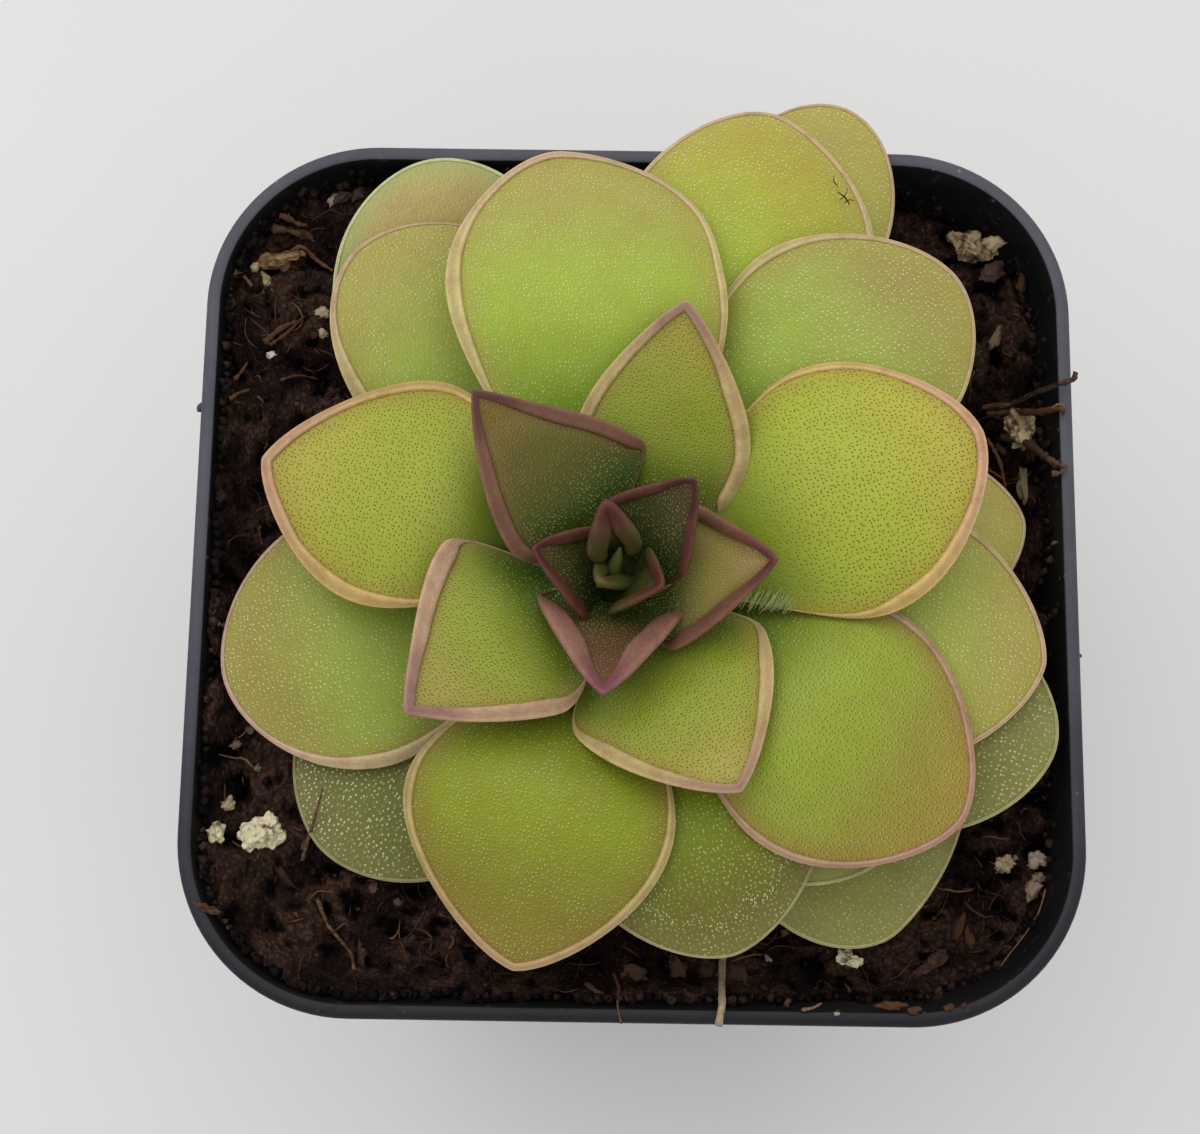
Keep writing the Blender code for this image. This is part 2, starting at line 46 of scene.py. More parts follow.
# Shader maths written as Python expressions
class Wire:
    def __init__(self, finish, socket):
        self.finish = finish
        self.socket = socket

    def __add__(self, other):
        return self.finish.maths("ADD", self, other)

    def __radd__(self, other):
        return self.finish.maths("ADD", other, self)

    def __sub__(self, other):
        return self.finish.maths("SUBTRACT", self, other)

    def __rsub__(self, other):
        return self.finish.maths("SUBTRACT", other, self)

    def __mul__(self, other):
        return self.finish.maths("MULTIPLY", self, other)

    def __rmul__(self, other):
        return self.finish.maths("MULTIPLY", other, self)


# One material and its nodes
class Finish:
    def __init__(self, name, **fixed):
        self.material = bpy.data.materials.new(name)
        self.material.use_nodes = True
        self.tree = self.material.node_tree
        self.shader = self.tree.nodes["Principled BSDF"]
        for socket, value in fixed.items():
            self.shader.inputs[socket.replace("_", " ")].default_value = value

    def node(self, kind, settings, inputs, output=0):
        made = self.tree.nodes.new(kind)
        for name, value in settings.items():
            setattr(made, name, value)
        for name, value in inputs.items():
            if isinstance(value, Wire):
                self.tree.links.new(value.socket, made.inputs[name])
            else:
                made.inputs[name].default_value = value
        return Wire(self, made.outputs[output])

    def maths(self, operation, a, b):
        return self.node("ShaderNodeMath", {"operation": operation}, {0: a, 1: b})

    def places(self):
        return self.node("ShaderNodeTexCoord", {}, {}, "Object")

    def stored(self, name, output):
        return self.node("ShaderNodeAttribute", {"attribute_name": name}, {}, output)

    def grain(self, where, perMetre, detail=3, roughness=0.55):
        return self.node("ShaderNodeTexNoise", {}, {"Vector": where, "Scale": perMetre, "Detail": detail,
                                                    "Roughness": roughness}, "Fac")

    def cells(self, where, scale, jitter=0.8, output="Distance", flat=False):
        return self.node("ShaderNodeTexVoronoi", {"voronoi_dimensions": "2D" if flat else "3D"},
                         {"Vector": where, "Scale": scale, "Randomness": jitter}, output)

    def between(self, value, low, high):    # 0 at low, 1 at high, smooth
        return self.node("ShaderNodeMapRange", {"interpolation_type": "SMOOTHSTEP"},
                         {"Value": value, "From Min": low, "From Max": high})

    def blend(self, mask, a, b, how="MIX"):
        a, b = [x if isinstance(x, Wire) else (*x, 1) for x in (a, b)]
        return self.node("ShaderNodeMix", {"data_type": "RGBA", "blend_type": how},
                         {0: mask, 6: a, 7: b}, 2)

    def tinted(self, color, factors):
        return self.blend(1.0, color, factors, "MULTIPLY")

    def atLeast(self, mask, least):
        return mask * (1 - least) + least

    def stretched(self, where, factors):
        return self.node("ShaderNodeVectorMath", {"operation": "MULTIPLY"}, {0: where, 1: factors})

    def shifted(self, where, step):
        return self.node("ShaderNodeVectorMath", {"operation": "ADD"}, {0: where, 1: step})

    def relief(self, height, depth, strength):
        return self.node("ShaderNodeBump", {}, {"Height": height, "Distance": depth, "Strength": strength})

    def feed(self, **links):
        for socket, wire in links.items():
            self.tree.links.new(wire.socket, self.shader.inputs[socket.replace("_", " ")])
        return self.material


# Light, floor and camera, in metres and degrees
studio = {
    "worldColor": (1.0, 1.0, 1.0), "worldStrength": 0.66,
    "lamps": [                              # place, aim, size, watts
        ((-0.20, 0.42, 0.85), (0, 0, 0.06), 1.30, 3.9),
    ],
    "floorSize": 4, "floorColor": (0.86, 0.855, 0.85), "floorShade": 0.96, "floorRoughness": 0.7,
    "cloudsPerMetre": 6, "clouds": (0.2, 0.8),
    "cameraPlace": (-0.0022, -0.0290, 0.2358), "cameraTurn": (10.23, 0.17, 0.85), "lens": 54.32,
    "sensorWidth": 36, "nearest": 0.01,
}


def buildStudio(look):
    scene = bpy.context.scene
    scene.view_settings.view_transform = "Standard"
    world = bpy.data.worlds.new("softRoom")
    scene.world = world
    world.use_nodes = True
    sky = world.node_tree.nodes["Background"]
    sky.inputs["Color"].default_value = (*look["worldColor"], 1)
    sky.inputs["Strength"].default_value = look["worldStrength"]
    for number, (place, aim, size, watts) in enumerate(look["lamps"]):
        light = bpy.data.lights.new(f"softbox{number}", "AREA")
        light.shape = "DISK"
        light.size = size
        light.energy = watts
        lamp = bpy.data.objects.new(light.name, light)
        lamp.location = place
        lamp.rotation_euler = (Vector(aim) - Vector(place)).to_track_quat("-Z", "Y").to_euler()
        scene.collection.objects.link(lamp)
    bpy.ops.mesh.primitive_plane_add(size=look["floorSize"])
    floor = bpy.context.object
    floor.name = "tableTop"
    paint = Finish("tableTop", Roughness=look["floorRoughness"])
    cloud = paint.between(paint.grain(paint.places(), look["cloudsPerMetre"]), *look["clouds"])
    light, dark = look["floorColor"], tuple(look["floorShade"] * x for x in look["floorColor"])
    floor.data.materials.append(paint.feed(Base_Color=paint.blend(cloud, dark, light)))
    camera = bpy.data.objects.new("camera", bpy.data.cameras.new("camera"))
    camera.data.lens = look["lens"]
    camera.data.sensor_width = look["sensorWidth"]
    camera.data.clip_start = look["nearest"]
    tilt, roll, turn = [math.radians(x) for x in look["cameraTurn"]]
    aimed = Matrix.Rotation(turn, 4, "Z") @ Matrix.Rotation(roll, 4, "Y") @ Matrix.Rotation(tilt, 4, "X")
    camera.matrix_world = Matrix.Translation(look["cameraPlace"]) @ aimed
    scene.collection.objects.link(camera)
    scene.camera = camera


buildStudio(studio)
print("studio ready")


# Putting pieces in the scene
def meshFrom(name, points, faces, materials):
    mesh = bpy.data.meshes.new(name)
    mesh.from_pydata([tuple(p) for p in np.asarray(points) * mm], [], faces)
    for material in materials:
        mesh.materials.append(material)
    mesh.shade_smooth()
    mesh.update()
    return mesh


def store(mesh, name, kind, values):       # keep one value a point for the materials
    attribute = mesh.attributes.new(name, kind, "POINT")
    values = np.asarray(values, dtype=np.float32)
    if kind == "FLOAT_COLOR":
        values = np.concatenate([values, np.ones((len(values), 1), np.float32)], 1)
    field = {"FLOAT_COLOR": "color", "FLOAT_VECTOR": "vector", "FLOAT": "value"}[kind]
    attribute.data.foreach_set(field, values.ravel())


def keepPiece(name, mesh, slot, *nodes):
    piece = bpy.data.objects.new(name, mesh)
    bpy.context.scene.collection.objects.link(piece)
    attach(piece, "root")
    if nodes:
        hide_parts(*nodes)


def searchTree(mesh):
    corners = [tuple(face.vertices) for face in mesh.polygons]
    return BVHTree.FromPolygons([vert.co.copy() for vert in mesh.vertices], corners)


aboveAll = 130      # searches for a surface start up here


def topAt(tree, x, y, fallback=None):       # height straight above a spot, in millimetres
    hit = tree.ray_cast(Vector((x, y, aboveAll)) * mm, Vector((0, 0, -1)))[0]
    return hit.z / mm if hit else fallback


# The leaves: their plan is the one the solids have, with a finer rolled margin
crownAxis = (-1.7, -2.4)
solidThickness = 0.7

# For the blade: half width at its base, how it swells and tapers, where it starts, how it sags sideways.
# For its margin: curl of the solid's edge in degrees, the roll's size, flatness and wall, the shares of
# the length where it fades in, and how much it narrows at the tip. Glands are cells per millimetre.
whorls = {
    "low": {"base": 1.8, "swell": 2.0, "curl": 40, "start": 4.3, "dome": 2.2, "taper": 2.0, "roll": 0.42,
            "flatness": 0.3, "wall": 0.13, "fade": (0.1, 0.4), "pinch": 0.2, "glands": 2.1},
    "outer": {"base": 1.8, "swell": 2.0, "curl": 50, "start": 4.1, "dome": 3.0, "taper": 2.0, "roll": 0.95,
              "flatness": 0.22, "wall": 0.19, "fade": (0.12, 0.55), "pinch": 0.6, "glands": 2.3},
    "main": {"base": 2.2, "swell": 1.6, "curl": 60, "start": 3.7, "dome": 4.0, "taper": 2.0, "roll": 1.3,
             "flatness": 0.25, "wall": 0.24, "fade": (0.15, 0.6), "pinch": 0.2, "glands": 2.6},
    "mid": {"base": 2.3, "swell": 1.3, "curl": 75, "start": 3.2, "dome": 1.2, "taper": 1.6, "roll": 1.45,
            "flatness": 0.45, "wall": 0.33, "fade": (0.15, 0.45), "pinch": 0.35, "glands": 3.0},
    "inner": {"base": 1.8, "swell": 1.3, "curl": 95, "start": 2.8, "dome": 0.0, "taper": 1.3, "roll": 1.6,
              "flatness": 0.7, "wall": 0.40, "fade": (0.0, 0.35), "pinch": 0.5, "glands": 3.6},
    "young": {"base": 0.9, "swell": 1.3, "curl": 55, "start": 1.4, "dome": 0.0, "taper": 1.3, "roll": 1.5,
              "flatness": 0.85, "wall": 0.40, "fade": (0.0, 0.25), "pinch": 0.35, "glands": 4.0},
}

# Colours along a blade (heart, middle, tip), near its edge, and along its rolled margin, and how much
# of its dark pits and pale dew shows. The heart colour at the crown is the leaf's own green, darkened on
# some leaves as painted shade from the leaves above and lightened on others as painted light; the pale
# dew is painted as highlights.
skins = {
    "bright": {"heart": (0.080, 0.17, 0.006), "middle": (0.40, 0.46, 0.045), "tip": (0.50, 0.46, 0.07),
               "edge": (0.42, 0.36, 0.055), "band": (0.50, 0.345, 0.12), "bandTip": (0.50, 0.30, 0.17),
               "pits": 1.0, "dew": 0.35},
    "fresh": {"heart": (0.115, 0.285, 0.014), "middle": (0.37, 0.49, 0.060), "tip": (0.43, 0.38, 0.090),
              "edge": (0.41, 0.37, 0.075), "band": (0.50, 0.41, 0.17), "bandTip": (0.50, 0.35, 0.20),
              "pits": 0.3, "dew": 1.25},
    "olive": {"heart": (0.021, 0.062, 0.002), "middle": (0.29, 0.345, 0.015), "tip": (0.27, 0.22, 0.026),
              "edge": (0.28, 0.22, 0.03), "band": (0.44, 0.35, 0.13), "bandTip": (0.42, 0.27, 0.13),
              "pits": 0.5, "dew": 0.85},
    "shaded": {"heart": (0.075, 0.13, 0.008), "middle": (0.205, 0.245, 0.026), "tip": (0.225, 0.220, 0.055),
               "edge": (0.25, 0.25, 0.070), "band": (0.36, 0.36, 0.14), "bandTip": (0.36, 0.32, 0.14),
               "pits": 0.1, "dew": 1.0},
    "pointed": {"heart": (0.05, 0.11, 0.006), "middle": (0.30, 0.36, 0.028), "tip": (0.46, 0.41, 0.085),
                "edge": (0.35, 0.30, 0.05), "band": (0.44, 0.33, 0.14), "bandTip": (0.33, 0.20, 0.135),
                "pits": 1.0, "dew": 0.8},
    "purple": {"heart": (0.045, 0.085, 0.004), "middle": (0.130, 0.122, 0.007), "tip": (0.32, 0.215, 0.036),
               "edge": (0.23, 0.17, 0.04), "band": (0.190, 0.088, 0.054), "bandTip": (0.140, 0.052, 0.046),
               "pits": 1.0, "dew": 0.5},
    "dusky": {"heart": (0.035, 0.07, 0.006), "middle": (0.14, 0.13, 0.022), "tip": (0.26, 0.18, 0.055),
              "edge": (0.18, 0.11, 0.035), "band": (0.170, 0.072, 0.045), "bandTip": (0.120, 0.036, 0.034),
              "pits": 0.7, "dew": 0.8},
    "heart": {"heart": (0.020, 0.038, 0.004), "middle": (0.060, 0.064, 0.014), "tip": (0.11, 0.070, 0.028),
              "edge": (0.08, 0.050, 0.018), "band": (0.105, 0.035, 0.022), "bandTip": (0.080, 0.020, 0.018),
              "pits": 0.3, "dew": 0.5},
    "sprout": {"heart": (0.03, 0.04, 0.005), "middle": (0.06, 0.06, 0.01), "tip": (0.10, 0.05, 0.02),
               "edge": (0.07, 0.05, 0.012), "band": (0.070, 0.060, 0.013), "bandTip": (0.095, 0.024, 0.018),
               "pits": 0.2, "dew": 0.3},
    "unfolding": {"heart": (0.05, 0.06, 0.006), "middle": (0.09, 0.10, 0.01), "tip": (0.12, 0.11, 0.015),
                  "edge": (0.1, 0.1, 0.012), "band": (0.072, 0.086, 0.016), "bandTip": (0.09, 0.075, 0.018),
                  "pits": 0.2, "dew": 0.2},
}


# gain scales all of a leaf's colours lighter or darker: painted light and painted shade for where the leaf
# lies among the others
def leaf(whorl, skin, azimuth, reach, baseZ, tipZ, arch, left, right, widest, point, **own):
    plan = {"azimuth": azimuth, "reach": reach, "baseZ": baseZ, "tipZ": tipZ, "arch": arch, "left": left,
            "right": right, "widest": widest, "point": point, "bend": 0.0, "gain": 1.0, "lean": 0.0,
            "redFrom": 0.7}
    merged = {**whorls[whorl], **skins[skin], **plan, **own}
    return {"fadeRight": merged["fade"], "taperRight": merged["taper"], **merged}


# Whorl, skin, azimuth in degrees, reach from the crown's axis, height at the base and the tip, arch,
# half widths left and right, where along it is widest, and how blunt its tip is
leaves = {
    "leaf_low_back_left": leaf("low", "fresh", 116, 44.7, 68, 71.5, 3, 13.5, 10.6, 0.60, 0.5, gain=1.25,
                               dew=0.6, edge=(0.36, 0.42, 0.14), middle=(0.38, 0.36, 0.10),
                               tip=(0.42, 0.32, 0.11), band=(0.46, 0.48, 0.20),
                               bandTip=(0.50, 0.52, 0.25)),
    "leaf_low_back_right": leaf("low", "fresh", 65.3, 50.1, 68, 76.5, 4, 8.3, 8.3, 0.76, 0.5, gain=1.15),
    "leaf_low_front_left": leaf("low", "shaded", 221, 34.3, 68, 71, 1, 10, 11.4, 0.62, 0.55, gain=0.87,
                                dew=1.3, band=(0.44, 0.38, 0.15)),
    "leaf_low_front_right": leaf("low", "shaded", 311, 39, 68, 69, 2, 15.4, 7.4, 0.72, 0.55, gain=1.55,
                                 dew=0.8),
    "leaf_low_right": leaf("low", "fresh", 12, 38.3, 68, 71, 2, 9.8, 8.6, 0.62, 0.6, gain=1.4,
                           middle=(0.26, 0.38, 0.045)),
    "leaf_low_right_front": leaf("low", "shaded", 340.5, 40.7, 68, 76.5, 2, 9.5, 11, 0.65, 0.55,
                                 gain=1.08, band=(0.42, 0.47, 0.12)),
    "leaf_low_inner_front": leaf("low", "shaded", 315, 32.7, 69, 72, 1.5, 10.2, 9, 0.65, 0.6, gain=1.4,
                                 dew=0.4, band=(0.42, 0.44, 0.12)),
    "leaf_outer_back_left": leaf("outer", "fresh", 126, 39.5, 70, 74, 3, 8.7, 12, 0.66, 0.5, lean=0.8,
                                 roll=1.0, gain=1.1, swell=1.5),
    "leaf_outer_back": leaf("outer", "fresh", 69, 45.5, 70, 77.5, 3, 10.8, 12.1, 0.70, 0.6, bend=2.5,
                            gain=1.2, roll=0.95, lean=-0.35, taper=1.65, taperRight=2.8,
                            middle=(0.37, 0.49, 0.038), tip=(0.42, 0.37, 0.048)),
    "leaf_outer_front": leaf("outer", "shaded", 288.5, 32.8, 70, 73, 2, 10.8, 10.1, 0.62, 0.6, roll=0.6,
                             dew=0.7, middle=(0.21, 0.275, 0.008), tip=(0.18, 0.155, 0.028),
                             edge=(0.21, 0.20, 0.05), band=(0.34, 0.28, 0.11)),
    "leaf_outer_right": leaf("outer", "fresh", 350.7, 37.8, 70, 75, 3, 12.0, 10.6, 0.62, 0.65, roll=0.75,
                             pinch=0.4, gain=1.05),
    "leaf_outer_left": leaf("outer", "fresh", 192.3, 35.5, 70, 74, 3, 10.6, 12.5, 0.60, 0.55, gain=0.95,
                            lean=0.45, taperRight=2.2, tip=(0.38, 0.305, 0.068), band=(0.56, 0.42, 0.22),
                            bandTip=(0.56, 0.37, 0.27)),
    "leaf_outer_back_right": leaf("outer", "fresh", 43.6, 40.3, 70, 77, 3, 12.6, 9.2, 0.66, 0.55,
                                  gain=1.05, lean=0.55, tip=(0.38, 0.32, 0.085), fade=(0.38, 0.85)),
    "leaf_main_front_right": leaf("main", "bright", 326, 35.4, 71, 77, 3, 11.2, 10.9, 0.58, 0.62,
                                  gain=1.12, pits=0.75, dew=0.9, heart=(0.050, 0.130, 0.006), roll=0.75,
                                  band=(0.40, 0.25, 0.15), bandTip=(0.38, 0.21, 0.15),
                                  middle=(0.31, 0.39, 0.035), tip=(0.34, 0.27, 0.040),
                                  edge=(0.33, 0.24, 0.045)),
    "leaf_main_front": leaf("main", "olive", 256, 33.5, 71, 76, 4, 9.8, 12.4, 0.56, 0.75, roll=0.95),
    "leaf_main_back": leaf("main", "fresh", 94, 39.0, 71, 79, 4, 11.7, 11.8, 0.62, 0.62, bend=3.1,
                           roll=1.1, swell=1.3, taper=1.9, taperRight=4.3, gain=1.1, dome=2.2, pinch=0.4,
                           lean=0.3, heart=(0.105, 0.29, 0.007), middle=(0.37, 0.49, 0.045)),
    "leaf_main_left": leaf("main", "bright", 160.0, 32.7, 72, 79, 3, 9.0, 11.3, 0.55, 0.8, bend=0.5,
                           lean=0.15, heart=(0.016, 0.066, 0.001)),
    "leaf_main_right": leaf("main", "bright", 22, 32.9, 72, 80, 3, 10.7, 10.8, 0.56, 0.62, lean=-0.25,
                            roll=1.2, gain=1.14, fade=(0.3, 0.7), heart=(0.10, 0.21, 0.008)),
    "leaf_mid_front": leaf("mid", "pointed", 300, 20.4, 76, 83.5, 1, 8.2, 8.9, 0.36, 0.85, roll=1.3,
                           fade=(0.2, 0.55), gain=1.12),
    "leaf_mid_left": leaf("mid", "pointed", 215, 20.5, 76, 85, 1, 6.6, 10.0, 0.38, 0.95, taper=1.35,
                          roll=1.6, lean=-0.2, fadeRight=(0.26, 0.42), gain=1.08, tip=(0.44, 0.36, 0.09),
                          band=(0.42, 0.27, 0.16), bandTip=(0.28, 0.15, 0.125)),
    "leaf_mid_back": leaf("mid", "pointed", 76.3, 23.8, 77, 86, 1, 5.9, 8.0, 0.42, 0.9, swell=0.5,
                          lean=-0.15, fadeRight=(0.16, 0.27), roll=1.3, middle=(0.26, 0.32, 0.012),
                          tip=(0.40, 0.36, 0.04)),
    "leaf_mid_back_left": leaf("mid", "purple", 130, 18.3, 78, 88, 0.5, 5.2, 8.3, 0.22, 0.98, glands=3.2,
                               fade=(0.0, 0.2), fadeRight=(0.14, 0.28), taperRight=1.3, roll=1.4,
                               pinch=0.5, gain=0.88),
    "leaf_inner_right": leaf("inner", "dusky", 2, 12.6, 80, 90, 0.3, 6.2, 5.8, 0.22, 0.95, base=4.4,
                             roll=1.3, middle=(0.33, 0.28, 0.065), tip=(0.45, 0.32, 0.125)),
    "leaf_inner_front": leaf("inner", "dusky", 265, 10.5, 80, 90, 0.3, 5.4, 5.8, 0.10, 0.97, base=4.6,
                             start=1.6, roll=1.85, middle=(0.125, 0.066, 0.024),
                             tip=(0.21, 0.085, 0.052), band=(0.24, 0.115, 0.082),
                             bandTip=(0.19, 0.062, 0.078)),
    "leaf_inner_back": leaf("inner", "heart", 46, 8.6, 81, 90, 0.3, 4, 3.7, 0.25, 0.95, start=2.2,
                            base=3.0, roll=0.85),
    "leaf_inner_left": leaf("inner", "heart", 174, 6.2, 82, 90, 0.3, 4.2, 3.3, 0.08, 0.95, start=1.0,
                            base=3.4, roll=1.05),
    "leaf_young_back": leaf("young", "sprout", 102, 4.1, 84, 91, 0.2, 1.6, 1.9, 0.3, 0.9, start=0.9,
                            roll=1.7, redFrom=0.35),
    "leaf_young_right": leaf("young", "sprout", 330, 4.0, 84, 90, 0.2, 2.6, 3.0, 0.08, 0.95, base=2.4,
                             start=1.2, roll=1.0, redFrom=0.25),
    "leaf_young_left": leaf("young", "unfolding", 228, 1.9, 84, 89, 0.2, 1.8, 1.9, 0.1, 0.8, base=1.6,
                            start=-0.5, roll=1.5),
}

rolledMargin = {
    "steps": 56,                # along each side, base to tip
    "turn": 308,                # degrees that the margin rolls over
    "turnSteps": 16,
    "leastRoll": 0.12,          # share of the roll that is left at the base
    "pinchFrom": 0.6,           # share of the length from which the roll narrows
    "waver": (0.22, 0.12),      # how often and how much the roll's size wavers
    "thickestWall": 0.55,       # share of the roll's radius
    "lipBulge": 0.35,           # share of the wall
    "bladeRows": 13,
    "crowding": 1.5,            # the rows stand closer at the margin
    "spineGap": 0.3,            # the rows run to a spine that stops short of the tip, a share of the width
    "leastRoom": 0.01, "rollRoom": 0.94, "tiny": 1e-9,
    "ripple": 0.22,             # unevenness of the blade, how often, and how far in it begins
    "ripplesPerMm": 0.11, "rippleFrom": 3, "rippleLayers": (1.0, 2.0, 2),
    "thickFrom": 0.35,          # share of the way in where the blade has its whole thickness
    "pitsFrom": (0.12, 0.5),    # shares of the length
    "dewOffPits": 0.5,
    "streakTurn": 57.3,         # degrees around the roll that count as one step of its streaks
    "undersideInset": 9.0, "undersideRoll": 0.06,
    "fitSpots": 8, "firstSpot": 0.015,      # where along the spine the solid's height is read
    "liftSteps": 101, "liftSmooth": 5,
}
leafShades = {
    "middleFrom": (0.08, 0.55), "tipFrom": (0.55, 1.0),     # shares of the length
    "edgeWidth": 0.28, "edgeFrom": (0.1, 0.4), "edgeStrength": 0.75,
    "bandFrom": (0.0, 0.25), "baseBand": 0.5,
    "highlightPaler": (1.45, 0.02),                  # factor and lift of the painted light lines on the roll
    "outerEdgeLight": (108, 18, 0.8),            # painted rim light: degrees around the roll, width and strength
    # a painted highlight along the inner edge, a little darker ridge, and a painted shadow in the crease
    "innerEdgeHighlight": (240, 24, 0.35), "ridge": (172, 32, 0.12),
    "creaseShadow": (258, 285), "creaseShadowStrength": 0.6,
}


def smoothStep(value, low, high):
    share = np.clip((value - low) / (high - low), 0, 1)
    return share * share * (3 - 2 * share)


class Blade:
    def __init__(self, name, plan, form):
        self.name = name
        self.plan = plan
        self.form = form
        self.length = plan["reach"] - plan["start"]
        self.widest = max(plan["left"], plan["right"])
        self.spineEnd = 1 - form["spineGap"] * self.widest / self.length
        azimuth = math.radians(plan["azimuth"])
        self.out = np.array([math.cos(azimuth), math.sin(azimuth), 0])
        self.side = np.array([-math.sin(azimuth), math.cos(azimuth), 0])
        self.liftShares = np.linspace(0, 1, form["liftSteps"])
        self.lift = np.zeros(form["liftSteps"])
        self.seed = sum(ord(letter) for letter in name)

    def outline(self, side, steps):     # shares of the length and half widths, base to tip
        plan = self.plan
        width, taper = (plan["left"], plan["taper"]) if side > 0 else (plan["right"], plan["taperRight"])
        before = steps // 2
        first = np.arange(before) / before
        swell = np.sin(math.pi / 2 * first) ** plan["swell"]
        beyond = np.sin(math.pi / 2 * np.arange(steps - before + 1) / (steps - before))
        shares = np.concatenate([plan["widest"] * first, plan["widest"] + (1 - plan["widest"]) * beyond])
        widths = np.concatenate([plan["base"] + (width - plan["base"]) * swell,
                                 width * np.maximum(0, 1 - beyond ** taper) ** plan["point"]])
        return shares, widths

    def place(self, share, across, height):     # a spot of the blade, on its arched and sagging surface
        plan = self.plan
        share, across, height = np.broadcast_arrays(share, across, height)
        rise = plan["tipZ"] - plan["baseZ"]
        slope = rise + 4 * plan["arch"] * (1 - 2 * share)
        tangent = self.out * self.length + self.side * (2 * plan["bend"] * share)[..., None]
        tangent = tangent + np.stack([0 * slope, 0 * slope, slope], -1)
        normal = np.cross(tangent, self.side)
        normal /= np.linalg.norm(normal, axis=-1, keepdims=True)
        sag = plan["dome"] * (across / self.widest) ** 2
        level = plan["baseZ"] + rise * share + 4 * plan["arch"] * share * (1 - share)
        level = level + np.interp(share, self.liftShares, self.lift)
        foot = np.stack([0 * level + crownAxis[0], 0 * level + crownAxis[1], level], -1)
        spine = foot + self.out * (plan["start"] + self.length * share)[..., None]
        aside = self.side * (plan["bend"] * share ** 2 + across)[..., None]
        return spine + aside + normal * (height - sag)[..., None]

    def layOn(self, tree):      # raise the blade to where its solid lies
        form = self.form
        shares = self.outline(1, form["fitSpots"])[0] * self.spineEnd
        shares[0] = form["firstSpot"]
        found = []
        for share in shares:
            spot = self.place(share, 0.0, 0.0)
            top = topAt(tree, spot[0], spot[1])
            if top is not None:
                found.append((share, top - spot[2]))
        lift = np.interp(self.liftShares, *zip(*found))
        window = 2 * form["liftSmooth"] + 1
        self.lift = np.convolve(np.pad(lift, form["liftSmooth"], mode="edge"), np.ones(window) / window,
                                mode="valid")

    def margin(self, steps):    # up the left side and down the right side
        left, right = self.outline(1, steps), self.outline(-1, steps)
        shares = np.concatenate([left[0], right[0][-2::-1]])
        across = np.concatenate([left[1], -right[1][-2::-1]])
        return shares, across

    def colors(self, share, inset, onRoll, turn, shades=leafShades):
        plan = self.plan
        key = {name: np.array(plan[name]) for name in ("heart", "middle", "tip", "edge", "band", "bandTip")}
        up = smoothStep(share, *shades["middleFrom"])[..., None]
        far = smoothStep(share, *shades["tipFrom"])[..., None]
        color = key["heart"] * (1 - up) + key["middle"] * up
        color = color * (1 - far) + key["tip"] * far
        rim = 1 - smoothStep(inset, 0, shades["edgeWidth"] * self.widest)
        rim = shades["edgeStrength"] * (rim * smoothStep(share, *shades["edgeFrom"]))[..., None]
        color = color * (1 - rim) + key["edge"] * rim
        tipward = smoothStep(share, plan["redFrom"], 1.0)[..., None]
        baseward = smoothStep(share, *shades["bandFrom"])[..., None]
        band = key["band"] * (1 - tipward) + key["bandTip"] * tipward
        band = band * baseward + shades["baseBand"] * (band + key["heart"]) * (1 - baseward)
        line = {}       # painted light: a light line at the outermost edge for light showing through it, and a painted highlight along the inner edge; the ridge is a little darker, and a painted shadow lies in the crease
        for name in ("outerEdgeLight", "innerEdgeHighlight", "ridge"):
            middle, wide, strength = shades[name]
            line[name] = strength * np.exp(-((turn - middle) / wide) ** 2)[..., None]
        creaseShadow = shades["creaseShadowStrength"] * smoothStep(turn, *shades["creaseShadow"])[..., None]
        factor, lift = shades["highlightPaler"]
        pale = factor * band + lift
        # painted light on the edges of the roll, painted shade on its ridge and in its crease
        light, dark = line["outerEdgeLight"] + line["innerEdgeHighlight"], line["ridge"] + creaseShadow
        band = band + (pale - band) * light - band * dark
        # the leaf's colours, scaled by its painted light and shade
        return plan["gain"] * (color * (1 - onRoll[..., None]) + band * onRoll[..., None])

    def rollSizes(self, shares, across, run):
        form, plan = self.form, self.plan
        often, much = form["waver"]
        waver = np.array([noise.noise(Vector((often * way, self.seed, 0.5))) for way in run])
        grown = np.where(across < 0, smoothStep(shares, *plan["fadeRight"]),
                         smoothStep(shares, *plan["fade"]))
        size = plan["roll"] * (form["leastRoll"] + (1 - form["leastRoll"]) * grown)
        size = size * (1 - plan["pinch"] * smoothStep(shares, form["pinchFrom"], 1.0))
        size = size * (1 + plan["lean"] * across / self.widest)
        return size * (1 + much * waver)

    def rows(self, inner, middle, room):    # inward, height, degrees on the roll, share of the way in
        form = self.form
        rows = []
        for turn in np.linspace(form["turn"], 0, form["turnSteps"] + 1):
            angle = math.radians(turn)
            height = inner * (1 - math.cos(angle)) * self.plan["flatness"]
            rows.append((middle - inner * math.sin(angle), height, turn, 0.0))
        for step in range(1, form["bladeRows"] + 1):
            share = (step / form["bladeRows"]) ** form["crowding"]
            inward = middle + (room - middle) * share
            rows.append((inward, 0 * inward, 0.0, share))
        return rows

    def ripples(self, at, aside):
        often, layers = self.form["ripplesPerMm"], self.form["rippleLayers"]
        return np.array([noise.fractal(Vector((often * a * self.length, often * b, self.seed)), *layers)
                         for a, b in zip(at, aside)])

